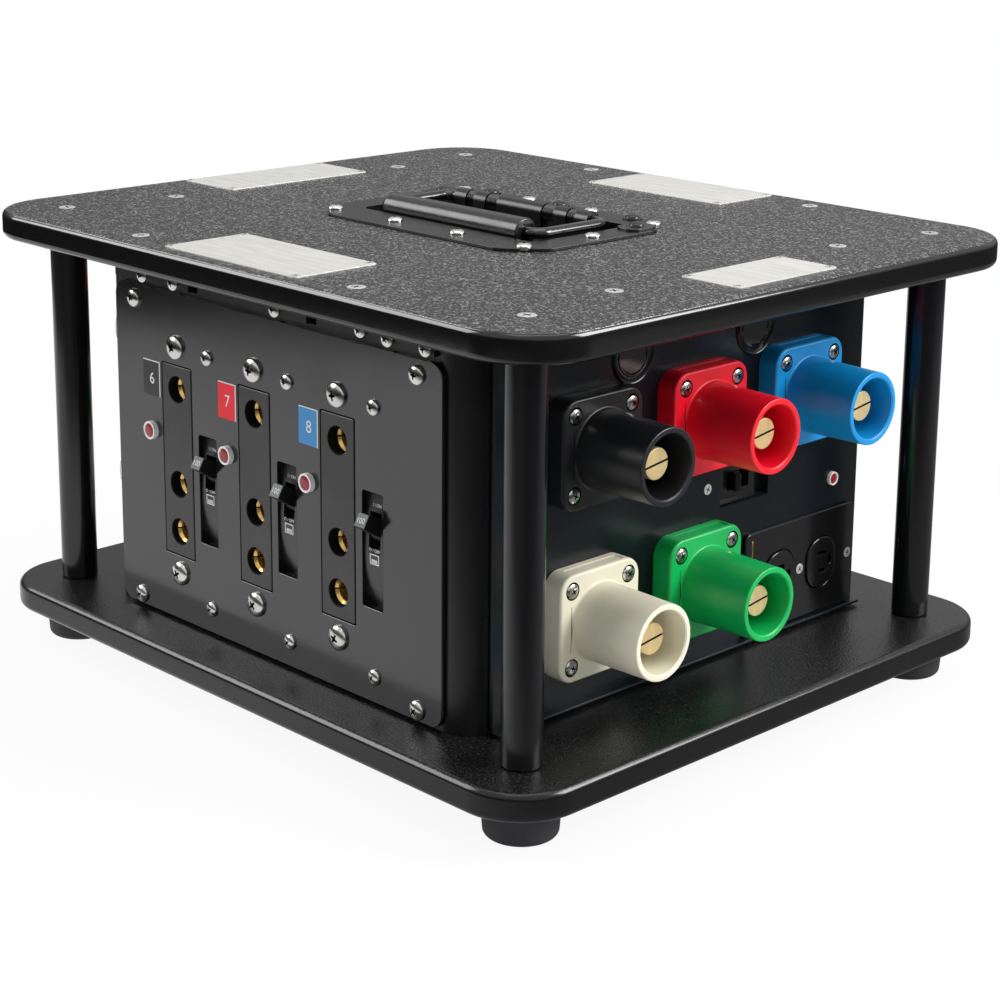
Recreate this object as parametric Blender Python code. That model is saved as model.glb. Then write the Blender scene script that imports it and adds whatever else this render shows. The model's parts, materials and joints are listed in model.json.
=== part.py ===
"""Power distribution box for stage lighting, as an assembly of separate pieces.

Two decks on four posts carry a steel enclosure between them. Stage-pin outlets with their
breakers are on the front and back, cam inlets on the right, cam feed-through outlets with
flip covers on the left, and a recessed spring handle is in the top deck.

Units are metres, +Z is up, and the box stands on z = 0 with the front facing -Y.
"""
import math

import bmesh
import bpy
from mathutils import Matrix, Vector

# Clearances
SEAT = 0.0003            # left between pieces that touch
RUNNING = 0.0003         # round a pin that turns
SLOT_CLEARANCE = 0.0004  # round a body that passes through a panel

# Decks, posts and feet
FOOT_HEIGHT = 0.0245
FOOT_TOP_RADIUS = 0.0248
FOOT_BASE_RADIUS = 0.0228
FOOT_EDGE = 0.004
FOOT_RECESS_RADIUS = 0.008
FOOT_RECESS_DEPTH = 0.009
DECK_THICKNESS = 0.019
DECK_EDGE_RADIUS = 0.0048
BASE_HALF_X = 0.273
BASE_HALF_Y = 0.235
BASE_CORNER = 0.044
TOP_HALF_X = 0.278
TOP_HALF_Y = 0.236
TOP_CORNER = 0.050
DECK_GAP = 0.2518
POST_RADIUS = 0.0127
POST_EDGE = 0.0015
POST_INSET_X = 0.043
POST_INSET_Y = 0.044
UNDER_PLATE_THICKNESS = 0.005
UNDER_PLATE_HALF_X = 0.255
UNDER_PLATE_HALF_Y = 0.212
UNDER_PLATE_CLIP_X = 0.038
UNDER_PLATE_CLIP_Y = 0.020

# Enclosure and panels
ENCLOSURE_HALF_X = 0.1863
ENCLOSURE_HALF_Y = 0.1931
ENCLOSURE_CORNER = 0.024
SHEET = 0.003
WINDOW_MARGIN_LOW = 0.012
WINDOW_MARGIN_HIGH = 0.030
FRONT_WINDOW_HALF = 0.128
SIDE_WINDOW_HALF = 0.164
PANEL_THICKNESS = 0.003
OUTLET_PANEL_HALF = 0.166
OUTLET_PANEL_HEIGHT = 0.2290
PANEL_LIFT = 0.002
PANEL_CORNER = 0.010
SIDE_PANEL_HALF = 0.176
SIDE_PANEL_HEIGHT = 0.2420
SIDE_PANEL_CORNER = 0.004
LEDGE_DEPTH = 0.007
LEDGE_THICKNESS = 0.002
TAB_THICKNESS = 0.0028
TAB_HEIGHT = 0.0125
TAB_SPANS = ((-0.166, -0.083), (-0.012, 0.040), (0.103, 0.158))
NOTCH_WIDTH = 0.0065
NOTCH_HEIGHT = 0.007
HOLE_PLUG_RADIUS = 0.0190
HOLE_PLUG_RISE = 0.0015
HOLE_PLUG_SPACING = 0.1176
HOLE_PLUG_DROP = 0.0250

# Stage-pin outlets: three columns on a panel
COLUMN_PITCH = 0.0836
FIRST_COLUMN = -0.0974
OUTLET_WIDTH = 0.032
OUTLET_BOTTOM = 0.0486
OUTLET_TOP = 0.1816
OUTLET_PROUD = 0.0002
OUTLET_CLEARANCE = 0.0008
OUTLET_DEPTH = 0.038
OUTLET_EAR = 0.020
OUTLET_EAR_THICKNESS = 0.006
OUTLET_EDGE = 0.0010
CONTACT_HEIGHTS = (0.0655, 0.0990, 0.1652)
CONTACT_SETBACKS = (0.0044, 0.0073, 0.0073)
CONTACT_MOUTH_RADIUS = 0.0090
CONTACT_RADIUS = 0.0055
CONTACT_DEPTH = 0.030

# Breakers
BREAKER_OFFSET = 0.0330
BREAKER_NOSE_WIDTH = 0.0186
BREAKER_NOSE_BOTTOM = 0.0640
BREAKER_NOSE_TOP = 0.1386
BREAKER_SUNK = 0.0015
BREAKER_TOP_FALL = 0.0034
BREAKER_BOTTOM_FALL = 0.0054
BREAKER_CROWN = 0.0960
BREAKER_WIDTH = 0.030
BREAKER_BOTTOM = 0.030
BREAKER_TOP = 0.176
BREAKER_DEPTH = 0.058
BREAKER_EAR = 0.017
BREAKER_EAR_THICKNESS = 0.003
PIVOT_HEIGHT = 0.1125
PIVOT_DEPTH = 0.0085
HUB_RADIUS = 0.0078
HANDLE_RADIUS = 0.0245
HANDLE_ROOT = 0.0112
HANDLE_TIP = 0.0108
HANDLE_WIDTH = 0.0114
HANDLE_REST_ANGLE = math.radians(28)
HANDLE_EDGE = 0.0006
POCKET_HALF_HEIGHT = 0.0130
TRUNNION_RADIUS = 0.0020
TRUNNION_LENGTH = 0.0025

# Cam connectors
CAM_SPACING = 0.0993
CAM_HIGH = 0.1698
CAM_LOW = 0.0596
FLANGE_HALF = 0.035
FLANGE_CORNER = 0.012
FLANGE_THICKNESS = 0.015
FLANGE_EDGE = 0.0022
FLANGE_SCREW_HALF = 0.0248
FLANGE_SCREW_RADIUS = 0.0058
FLANGE_SCREW_DEPTH = 0.0030
SLEEVE_ROOT_RADIUS = 0.0252
SLEEVE_RIM_RADIUS = 0.0243
SLEEVE_LENGTH = 0.0530
SLEEVE_BORE = 0.0202
SLEEVE_FLOOR = 0.006
BOSS_RADIUS = 0.0220
BOSS_DEPTH = 0.022
PIN_RADIUS = 0.0100
PIN_RECESS = 0.0095
PIN_SHOULDER = 0.0125
PIN_SHOULDER_LENGTH = 0.005
PIN_STUD_RADIUS = 0.0060
PIN_STUD_LENGTH = 0.020
PIN_SLOT_WIDTH = 0.0014
PIN_SLOT_DEPTH = 0.004
SOCKET_RADIUS = 0.0106
SOCKET_DEPTH = 0.046

# Flip covers of the feed-through outlets
COVER_RADIUS = 0.0330
COVER_THICKNESS = 0.0026
COVER_RIM = 0.0024
COVER_RIM_RISE = 0.0016
HINGE_HEIGHT = 0.0312
HINGE_BACKSET = 0.0042
HINGE_PIN_RADIUS = 0.0016
HINGE_RING_RADIUS = 0.0036
HINGE_EAR_RADIUS = 0.0038
HINGE_EAR_WIDTH = 0.0040
HINGE_KNUCKLE_WIDTH = 0.0120

# Duplex receptacle and small breaker on the inlet panel
DUPLEX_X = 0.1122
DUPLEX_HEIGHT = 0.0407
DUPLEX_HALF_X = 0.0582
DUPLEX_HALF_Z = 0.0365
DUPLEX_CORNER = 0.005
DUPLEX_PLATE = 0.0028
DUPLEX_BODY_HALF_X = 0.044
DUPLEX_BODY_HALF_Z = 0.0215
DUPLEX_BODY_DEPTH = 0.028
FACE_SPACING = 0.0450
FACE_HALF_X = 0.0155
FACE_HALF_Z = 0.0178
FACE_CORNER = 0.0135
FACE_PROUD = 0.0014
BLADE_SLOT = (0.0080, 0.0024)
BLADE_OFFSET = 0.0064
EARTH_SLOT = (0.0026, 0.0056)
EARTH_OFFSET = 0.0092
SLOT_DEPTH = 0.012
SMALL_BREAKER_X = 0.0540
SMALL_BREAKER_HEIGHT = 0.1150
SMALL_BREAKER_HALF_X = 0.0240
SMALL_BREAKER_HALF_Z = 0.0125
SMALL_BREAKER_SUNK = 0.0060
SMALL_BREAKER_DEPTH = 0.045
SMALL_BREAKER_BACK = 0.004
SMALL_HANDLE_RADIUS = 0.0150
SMALL_HUB_RADIUS = 0.0062
SMALL_PIVOT_DEPTH = 0.0068
SMALL_HANDLE_ROOT = 0.0056
SMALL_HANDLE_TIP = 0.0044
SMALL_HANDLE_WIDTH = 0.0120
SMALL_POCKET_HALF = 0.0110

# Recessed handle in the top deck
PAN_HALF_X = 0.109
PAN_HALF_Y = 0.075
PAN_CLIP = 0.024
PAN_SHEET = 0.0020
TRAY_HALF_X = 0.086
TRAY_FRONT = 0.0435
TRAY_BACK = 0.0480
TRAY_DEPTH = 0.0130
TRAY_CORNER = 0.008
TRAY_CLEARANCE = 0.0005
BAIL_WIRE = 0.0040
BAIL_HALF_X = 0.0775
BAIL_BEND = 0.009
BAIL_REACH = 0.0640
BAIL_PIVOT_Y = 0.0330
BAIL_PIVOT_RISE = 0.0045
KNUCKLE_RADIUS = 0.0066
KNUCKLE_SPANS = ((-0.066, -0.054), (-0.046, -0.034), (-0.022, 0.022), (0.034, 0.046), (0.054, 0.066))
GRIP_RADIUS = 0.0100
GRIP_HALF = 0.0665
GRIP_EDGE = 0.0014

# Facets
CORNER_STEPS = 5
ROUND = 14
FINE_ROUND = 18
SMALL_ROUND = 8
BORE_ROUND = 12

# Heights and distances that follow from the sizes above
BASE_FACE = FOOT_HEIGHT + DECK_THICKNESS
POST_X = BASE_HALF_X - POST_INSET_X
POST_Y = BASE_HALF_Y - POST_INSET_Y
TOP_UNDERSIDE = BASE_FACE + DECK_GAP
TOP_FACE = TOP_UNDERSIDE + DECK_THICKNESS
UNDER_PLATE_LOW = TOP_UNDERSIDE - UNDER_PLATE_THICKNESS
ENCLOSURE_LOW = BASE_FACE + SEAT
ENCLOSURE_TOP = UNDER_PLATE_LOW - SEAT
FRONT_FACE = ENCLOSURE_HALF_Y + SEAT + PANEL_THICKNESS
SIDE_FACE = ENCLOSURE_HALF_X + SEAT + PANEL_THICKNESS
CAM_RIM = SIDE_FACE + FLANGE_THICKNESS + SLEEVE_LENGTH
OUTLET_COLUMNS = tuple(FIRST_COLUMN + i * COLUMN_PITCH for i in range(3))

# Sides: the panel's outward normal is -Y on the front, and each side is turned about Z
FRONT = 0.0
RIGHT = math.radians(90)
BACK = math.radians(180)
LEFT = math.radians(270)

# Finish name: colour, roughness, metallic, alpha
FINISHES = {
    "deck": ((0.030, 0.030, 0.031), 0.55, 0.0, 1.0),
    "steel_black": ((0.012, 0.012, 0.013), 0.32, 0.3, 1.0),
    "post_black": ((0.010, 0.010, 0.011), 0.22, 0.2, 1.0),
    "rubber": ((0.022, 0.022, 0.024), 0.75, 0.0, 1.0),
    "plastic_black": ((0.013, 0.013, 0.014), 0.38, 0.0, 1.0),
    "cam_black": ((0.015, 0.015, 0.017), 0.40, 0.0, 1.0),
    "cam_red": ((0.560, 0.010, 0.018), 0.38, 0.0, 1.0),
    "cam_blue": ((0.010, 0.190, 0.520), 0.38, 0.0, 1.0),
    "cam_white": ((0.720, 0.690, 0.570), 0.42, 0.0, 1.0),
    "cam_green": ((0.010, 0.380, 0.090), 0.38, 0.0, 1.0),
    "brass": ((0.640, 0.450, 0.170), 0.30, 1.0, 1.0),
    "clear": ((0.850, 0.860, 0.850), 0.15, 0.0, 0.35),
    "grip": ((0.018, 0.018, 0.020), 0.36, 0.0, 1.0),
}


def material(name):
    """The Principled material of a finish, made once."""
    found = bpy.data.materials.get(name)
    if found:
        return found
    colour, roughness, metallic, alpha = FINISHES[name]
    made = bpy.data.materials.new(name)
    made.use_nodes = True
    shader = made.node_tree.nodes["Principled BSDF"]
    shader.inputs["Base Color"].default_value = (*colour, 1.0)
    shader.inputs["Roughness"].default_value = roughness
    shader.inputs["Metallic"].default_value = metallic
    shader.inputs["Alpha"].default_value = alpha
    return made


def rounded_rectangle(low, high, radius, steps=CORNER_STEPS):
    """Points round a rectangle from low to high, anticlockwise, with its corners as arcs."""
    (x0, y0), (x1, y1) = low, high
    points = []
    centres = ((x1 - radius, y1 - radius), (x0 + radius, y1 - radius),
               (x0 + radius, y0 + radius), (x1 - radius, y0 + radius))
    for quarter, (cx, cy) in enumerate(centres):
        for i in range(steps + 1):
            angle = math.radians(90) * (quarter + i / steps)
            points.append((cx + radius * math.cos(angle), cy + radius * math.sin(angle)))
    return points


def clipped_rectangle(half_x, half_y, clip_x, clip_y):
    """Points round a rectangle about the origin with its four corners clipped straight."""
    inner_x, inner_y = half_x - clip_x, half_y - clip_y
    return [(half_x, inner_y), (inner_x, half_y), (-inner_x, half_y), (-half_x, inner_y),
            (-half_x, -inner_y), (-inner_x, -half_y), (inner_x, -half_y), (half_x, -inner_y)]


def circle(radius, sides, centre=(0.0, 0.0)):
    """Points round a circle."""
    return [(centre[0] + radius * math.cos(2 * math.pi * i / sides),
             centre[1] + radius * math.sin(2 * math.pi * i / sides)) for i in range(sides)]


# Maps a drawing's (across, up) and an extrusion distance to x, y, z
PLANES = {
    "Z": lambda a, b, d: (a, b, d),
    "Y": lambda a, b, d: (a, d, b),
    "X": lambda a, b, d: (d, a, b),
}


def prism(points, plane, low, high, edge=0.0, edge_side="high", segments=2):
    """A bmesh extruded from an outline along an axis, with the rim at one or both ends rounded."""
    place = PLANES[plane]
    mesh = bmesh.new()
    verts = [mesh.verts.new(place(a, b, low)) for a, b in points]
    start = mesh.faces.new(verts)
    grown = bmesh.ops.extrude_face_region(mesh, geom=[start])
    moved = [g for g in grown["geom"] if isinstance(g, bmesh.types.BMVert)]
    bmesh.ops.translate(mesh, verts=moved, vec=Vector(place(0, 0, high)) - Vector(place(0, 0, low)))
    axis = "XYZ".index(plane)
    if edge > 0:
        ends = {"high": (high,), "low": (low,), "both": (low, high)}[edge_side]
        rims = [e for e in mesh.edges
                if any(all(abs(v.co[axis] - end) < 1e-7 for v in e.verts) for end in ends)]
        bmesh.ops.bevel(mesh, geom=rims, offset=edge, offset_type="OFFSET", segments=segments,
                        profile=0.5, affect="EDGES", clamp_overlap=True, material=-1)
    bmesh.ops.recalc_face_normals(mesh, faces=mesh.faces)
    return mesh


def box(low, high, edge=0.0):
    """A bmesh box between two corners, with all of its edges bevelled if an edge is given."""
    mesh = bmesh.new()
    bmesh.ops.create_cube(mesh, size=1.0)
    size = Vector(high) - Vector(low)
    bmesh.ops.scale(mesh, vec=size, verts=mesh.verts)
    bmesh.ops.translate(mesh, vec=Vector(low) + size / 2, verts=mesh.verts)
    if edge > 0:
        bmesh.ops.bevel(mesh, geom=mesh.edges[:], offset=edge, offset_type="OFFSET", segments=1,
                        profile=0.5, affect="EDGES", material=-1)
    return mesh


def turned(profile, axis="Z", sides=ROUND):
    """A bmesh turned from (radius, distance) points; a radius of 0 closes it on the axis."""
    mesh = bmesh.new()
    across = {"X": (0, 1, 0), "Y": (1, 0, 0), "Z": (1, 0, 0)}[axis]
    along = {"X": (1, 0, 0), "Y": (0, 1, 0), "Z": (0, 0, 1)}[axis]
    verts = [mesh.verts.new(Vector(across) * r + Vector(along) * d) for r, d in profile]
    edges = [mesh.edges.new(pair) for pair in zip(verts, verts[1:])]
    if profile[0][0] > 0:
        edges.append(mesh.edges.new((verts[-1], verts[0])))
    bmesh.ops.spin(mesh, geom=verts + edges, cent=(0, 0, 0), axis=along, dvec=(0, 0, 0),
                   angle=2 * math.pi, steps=sides, use_merge=True, use_duplicate=False)
    bmesh.ops.remove_doubles(mesh, verts=mesh.verts, dist=1e-6)
    bmesh.ops.recalc_face_normals(mesh, faces=mesh.faces)
    return mesh


def shifted(mesh, offset):
    """The same bmesh, moved."""
    bmesh.ops.translate(mesh, vec=Vector(offset), verts=mesh.verts)
    return mesh


def joined(meshes):
    """One bmesh that holds several separate ones, used for cutters."""
    whole = bmesh.new()
    scratch = bpy.data.meshes.new("scratch")
    for mesh in meshes:
        mesh.to_mesh(scratch)
        whole.from_mesh(scratch)
        mesh.free()
    bpy.data.meshes.remove(scratch)
    return whole


def add_object(name, mesh, turn=0.0, location=(0.0, 0.0, 0.0)):
    """Links an object made from a bmesh, turned about Z and then placed."""
    data = bpy.data.meshes.new(name)
    mesh.to_mesh(data)
    mesh.free()
    made = bpy.data.objects.new(name, data)
    made.rotation_euler = (0.0, 0.0, turn)
    made.location = Matrix.Rotation(turn, 3, "Z") @ Vector(location)
    bpy.context.scene.collection.objects.link(made)
    return made


def piece(name, mesh, finish, turn=0.0, location=(0.0, 0.0, 0.0), smooth=40):
    """A named sub-part with its finish, its origin at a location in its side's frame."""
    made = add_object(name, mesh, turn, location)
    made.data.materials.append(material(finish))
    made.data.shade_smooth()
    made.data.set_sharp_from_angle(angle=math.radians(smooth))
    return made


def combine(target, mesh, operation):
    """Adds a live Boolean to a piece; its helper shares the piece's frame and stays hidden."""
    number = len(target.modifiers) + 1
    helper = add_object(f"{target.name}_helper_{number}", mesh)
    helper.rotation_euler = target.rotation_euler
    helper.location = target.location
    helper.hide_render = True
    helper.display_type = "WIRE"
    helper.hide_set(True)
    modifier = target.modifiers.new(f"{operation.lower()}_{number}", "BOOLEAN")
    modifier.operation = operation
    modifier.solver = "EXACT"
    modifier.object = helper


def cut(target, mesh):
    """Takes a shape away from a piece."""
    combine(target, mesh, "DIFFERENCE")


def fuse(target, mesh):
    """Adds a shape to a piece as one body with it."""
    combine(target, mesh, "UNION")


def make_decks():
    """Base deck, top deck with the handle's cut-out, and the plate under the top deck."""
    outline = rounded_rectangle((-BASE_HALF_X, -BASE_HALF_Y), (BASE_HALF_X, BASE_HALF_Y),
                                BASE_CORNER)
    base = prism(outline, "Z", FOOT_HEIGHT, BASE_FACE, DECK_EDGE_RADIUS, "both")
    piece("base_deck", base, "deck")
    outline = rounded_rectangle((-TOP_HALF_X, -TOP_HALF_Y), (TOP_HALF_X, TOP_HALF_Y), TOP_CORNER)
    board = prism(outline, "Z", TOP_UNDERSIDE, TOP_FACE, DECK_EDGE_RADIUS, "both")
    top = piece("top_deck", board, "deck")
    grow = PAN_SHEET + TRAY_CLEARANCE
    hole = rounded_rectangle((-TRAY_HALF_X - grow, -TRAY_FRONT - grow),
                             (TRAY_HALF_X + grow, TRAY_BACK + grow), TRAY_CORNER + grow, 4)
    cut(top, prism(hole, "Z", TOP_UNDERSIDE - DECK_THICKNESS, TOP_FACE + DECK_THICKNESS))
    outline = clipped_rectangle(UNDER_PLATE_HALF_X, UNDER_PLATE_HALF_Y, UNDER_PLATE_CLIP_X,
                                UNDER_PLATE_CLIP_Y)
    plate = prism(outline, "Z", UNDER_PLATE_LOW, TOP_UNDERSIDE - SEAT)
    piece("deck_under_plate", plate, "steel_black")


def make_posts_and_feet():
    """Four tubular posts between the decks, and a turned rubber foot under each."""
    low, high = BASE_FACE + SEAT, UNDER_PLATE_LOW - SEAT
    post_profile = [(0, low), (POST_RADIUS - POST_EDGE, low), (POST_RADIUS, low + POST_EDGE),
                    (POST_RADIUS, high - POST_EDGE), (POST_RADIUS - POST_EDGE, high), (0, high)]
    top = FOOT_HEIGHT - SEAT
    slope = (FOOT_TOP_RADIUS - FOOT_BASE_RADIUS) / FOOT_HEIGHT
    foot_profile = [(0, FOOT_RECESS_DEPTH), (FOOT_RECESS_RADIUS, FOOT_RECESS_DEPTH), (FOOT_RECESS_RADIUS, 0)]
    for i in range(3):
        angle = math.radians(90) * i / 2
        foot_profile.append((FOOT_BASE_RADIUS - FOOT_EDGE * (1 - math.sin(angle)) + slope * FOOT_EDGE * i / 2,
                             FOOT_EDGE * (1 - math.cos(angle))))
    foot_profile += [(FOOT_TOP_RADIUS, top), (0, top)]
    for end, y in (("front", -POST_Y), ("back", POST_Y)):
        for hand, x in (("left", -POST_X), ("right", POST_X)):
            piece(f"post_{end}_{hand}", turned(post_profile), "post_black", location=(x, y, 0))
            piece(f"foot_{end}_{hand}", turned(foot_profile), "rubber", location=(x, y, 0))


def make_enclosure():
    """A folded sheet box, open at each panel, with screw tabs and notches along its top edge."""
    outer = rounded_rectangle((-ENCLOSURE_HALF_X, -ENCLOSURE_HALF_Y), (ENCLOSURE_HALF_X, ENCLOSURE_HALF_Y),
                              ENCLOSURE_CORNER)
    inner = rounded_rectangle((SHEET - ENCLOSURE_HALF_X, SHEET - ENCLOSURE_HALF_Y),
                              (ENCLOSURE_HALF_X - SHEET, ENCLOSURE_HALF_Y - SHEET), ENCLOSURE_CORNER - SHEET)
    box_piece = piece("enclosure", prism(outer, "Z", ENCLOSURE_LOW, ENCLOSURE_TOP), "steel_black")
    cut(box_piece, prism(inner, "Z", ENCLOSURE_LOW - SHEET, ENCLOSURE_TOP + SHEET))
    low, high = BASE_FACE + WINDOW_MARGIN_LOW, ENCLOSURE_TOP - WINDOW_MARGIN_HIGH
    front_window = rounded_rectangle((-FRONT_WINDOW_HALF, low), (FRONT_WINDOW_HALF, high), SHEET, 2)
    cut(box_piece, prism(front_window, "Y", -2 * ENCLOSURE_HALF_Y, 2 * ENCLOSURE_HALF_Y))
    side_window = rounded_rectangle((-SIDE_WINDOW_HALF, low), (SIDE_WINDOW_HALF, high), SHEET, 2)
    cut(box_piece, prism(side_window, "X", -2 * ENCLOSURE_HALF_X, 2 * ENCLOSURE_HALF_X))
    tabs, notches = [], []
    for sign in (-1, 1):
        for start, end in TAB_SPANS:
            y0, y1 = sorted((sign * (ENCLOSURE_HALF_Y - SHEET / 2),
                             sign * (ENCLOSURE_HALF_Y + TAB_THICKNESS)))
            x0, x1 = sorted((-sign * start, -sign * end))
            tabs.append(box((x0, y0, ENCLOSURE_TOP - TAB_HEIGHT), (x1, y1, ENCLOSURE_TOP - SEAT)))
        for _, end in TAB_SPANS[:2]:
            x0, x1 = sorted((-sign * (end + SEAT), -sign * (end + NOTCH_WIDTH)))
            y0, y1 = sorted((sign * (ENCLOSURE_HALF_Y - 2 * SHEET), sign * (ENCLOSURE_HALF_Y + SHEET)))
            notch_top = ENCLOSURE_TOP - TAB_HEIGHT + NOTCH_HEIGHT
            notches.append(box((x0, y0, ENCLOSURE_TOP - TAB_HEIGHT), (x1, y1, notch_top)))
    fuse(box_piece, joined(tabs))
    cut(box_piece, joined(notches))


def nose_slot(x, width, low, high, c):
    """A cutter through an outlet panel, with clearance c round the body that passes through it."""
    return box((x - width / 2 - c, -FRONT_FACE - PANEL_THICKNESS, BASE_FACE + low - c),
               (x + width / 2 + c, -FRONT_FACE + 2 * PANEL_THICKNESS, BASE_FACE + high + c))


def make_outlet_side(side, turn, circuits):
    """One outlet panel with its three stage-pin outlets and three breakers."""
    low = BASE_FACE + PANEL_LIFT
    outline = rounded_rectangle((-OUTLET_PANEL_HALF, low), (OUTLET_PANEL_HALF, low + OUTLET_PANEL_HEIGHT),
                                PANEL_CORNER, 5)
    panel = piece(f"outlet_panel_{side}", prism(outline, "Y", -FRONT_FACE, -FRONT_FACE + PANEL_THICKNESS),
                  "steel_black", turn)
    slots = []
    for column in OUTLET_COLUMNS:
        slots.append(nose_slot(column, OUTLET_WIDTH, OUTLET_BOTTOM, OUTLET_TOP, OUTLET_CLEARANCE))
        slots.append(nose_slot(column + BREAKER_OFFSET, BREAKER_NOSE_WIDTH, BREAKER_NOSE_BOTTOM,
                               BREAKER_NOSE_TOP, SLOT_CLEARANCE))
    cut(panel, joined(slots))
    for column, circuit in zip(OUTLET_COLUMNS, circuits):
        make_stage_outlet(circuit, turn, column)
        make_breaker(circuit, turn, column + BREAKER_OFFSET)


def make_stage_outlet(circuit, turn, x):
    """A stage-pin outlet: a moulded strip with three stepped contact holes, and ears behind the panel."""
    front = -FRONT_FACE - OUTLET_PROUD
    behind = -FRONT_FACE + PANEL_THICKNESS + SEAT
    low, high = BASE_FACE + OUTLET_BOTTOM, BASE_FACE + OUTLET_TOP
    ear_back, back = behind + OUTLET_EAR_THICKNESS, behind + OUTLET_DEPTH
    profile = [(front, low), (behind, low), (behind, low - OUTLET_EAR), (ear_back, low - OUTLET_EAR),
               (ear_back, low), (back, low), (back, high), (ear_back, high),
               (ear_back, high + OUTLET_EAR), (behind, high + OUTLET_EAR), (behind, high),
               (front, high)]
    half = OUTLET_WIDTH / 2
    mesh = prism(profile, "X", x - half, x + half)
    rim = [e for e in mesh.edges if all(abs(v.co.y - front) < 1e-7 for v in e.verts)]
    bmesh.ops.bevel(mesh, geom=rim, offset=OUTLET_EDGE, offset_type="OFFSET", segments=1, profile=0.5,
                    affect="EDGES", material=-1)
    strip = piece(f"stage_outlet_{circuit}", mesh, "plastic_black", turn)
    mouths, bores = [], []
    for height, setback in zip(CONTACT_HEIGHTS, CONTACT_SETBACKS):
        centre = (x, BASE_FACE + height)
        mouths.append(prism(circle(CONTACT_MOUTH_RADIUS, BORE_ROUND, centre), "Y",
                            front - CONTACT_RADIUS, front + setback))
        bores.append(prism(circle(CONTACT_RADIUS, SMALL_ROUND, centre), "Y",
                           front - CONTACT_RADIUS, front + CONTACT_DEPTH))
    cut(strip, joined(mouths))
    cut(strip, joined(bores))


def handle_mesh(hub, reach, root, tip, width):
    """A breaker's rocking handle about its own axis, which runs along X, pointing to -Y."""
    spread = math.asin(min(root / (2 * hub), 0.9))
    arc = [math.pi + spread + (2 * math.pi - 2 * spread) * i / 10 for i in range(11)]
    points = [(hub * math.cos(a), hub * math.sin(a)) for a in arc]
    points += [(-reach, tip / 2), (-reach, -tip / 2)]
    mesh = prism(points, "X", -width / 2, width / 2)
    tips = [e for e in mesh.edges if all(v.co.y < -reach + 1e-6 for v in e.verts)]
    bmesh.ops.bevel(mesh, geom=tips, offset=HANDLE_EDGE, offset_type="OFFSET", segments=1, profile=0.5,
                    affect="EDGES", material=-1)
    return mesh


def trunnion_mesh(radius, half):
    """A round shaft along X about the origin."""
    return prism(circle(radius, SMALL_ROUND), "X", -half, half)


def nose_relief(front):
    """The outline, seen from the side, of what is taken off a nose's face to crown it."""
    crown = BASE_FACE + BREAKER_CROWN
    bottom, top = BASE_FACE + BREAKER_NOSE_BOTTOM, BASE_FACE + BREAKER_NOSE_TOP
    lower = [(front + BREAKER_BOTTOM_FALL * (i / 4) ** 2, crown + (bottom - crown) * i / 4)
             for i in (4, 3, 2, 1)]
    upper = [(front + BREAKER_TOP_FALL * (i / 4) ** 2, crown + (top - crown) * i / 4)
             for i in range(5)]
    clear = -2 * FRONT_FACE
    start = [(clear, bottom - SLOT_CLEARANCE), (lower[0][0], bottom - SLOT_CLEARANCE)]
    end = [(upper[-1][0], top + SLOT_CLEARANCE), (clear, top + SLOT_CLEARANCE)]
    return start + lower + upper + end


def make_breaker(circuit, turn, x):
    """A circuit breaker: its body behind the panel, its nose through it, and its rocking handle."""
    front = -FRONT_FACE + BREAKER_SUNK
    behind = -FRONT_FACE + PANEL_THICKNESS + SEAT
    half, nose = BREAKER_WIDTH / 2, BREAKER_NOSE_WIDTH / 2
    low, high = BASE_FACE + BREAKER_BOTTOM, BASE_FACE + BREAKER_TOP
    ear_back = behind + BREAKER_EAR_THICKNESS
    profile = [(behind, low - BREAKER_EAR), (ear_back, low - BREAKER_EAR), (ear_back, low),
               (behind + BREAKER_DEPTH, low), (behind + BREAKER_DEPTH, high), (ear_back, high),
               (ear_back, high + BREAKER_EAR), (behind, high + BREAKER_EAR)]
    body = piece(f"breaker_{circuit}", prism(profile, "X", x - half, x + half), "plastic_black", turn)
    fuse(body, box((x - nose, front, BASE_FACE + BREAKER_NOSE_BOTTOM),
                   (x + nose, behind + BREAKER_EAR_THICKNESS / 2, BASE_FACE + BREAKER_NOSE_TOP)))
    room = nose + SLOT_CLEARANCE
    cut(body, prism(nose_relief(front), "X", x - room, x + room))
    pivot = Vector((x, front + PIVOT_DEPTH, BASE_FACE + PIVOT_HEIGHT))
    room = HANDLE_WIDTH / 2 + RUNNING
    pocket_floor = pivot.y + HUB_RADIUS + RUNNING
    cut(body, box((x - room, front - PIVOT_DEPTH, pivot.z - POCKET_HALF_HEIGHT),
                  (x + room, pocket_floor, pivot.z + POCKET_HALF_HEIGHT)))
    bearing = HANDLE_WIDTH / 2 + TRUNNION_LENGTH + RUNNING
    cut(body, shifted(trunnion_mesh(TRUNNION_RADIUS + RUNNING, bearing), pivot))
    handle = piece(f"breaker_handle_{circuit}",
                   handle_mesh(HUB_RADIUS, HANDLE_RADIUS, HANDLE_ROOT, HANDLE_TIP, HANDLE_WIDTH),
                   "plastic_black", turn, pivot)
    handle.data.transform(Matrix.Rotation(-HANDLE_REST_ANGLE, 4, "X"))
    fuse(handle, trunnion_mesh(TRUNNION_RADIUS, HANDLE_WIDTH / 2 + TRUNNION_LENGTH))


def cam_places(mirrored):
    """Colour, distance across and height of each cam connector, as seen from its side."""
    sign = -1 if mirrored else 1
    first, last = -sign * CAM_SPACING, sign * CAM_SPACING
    return (("black", first, CAM_HIGH), ("red", 0.0, CAM_HIGH), ("blue", last, CAM_HIGH),
            ("white", first, CAM_LOW), ("green", 0.0, CAM_LOW))


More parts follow.
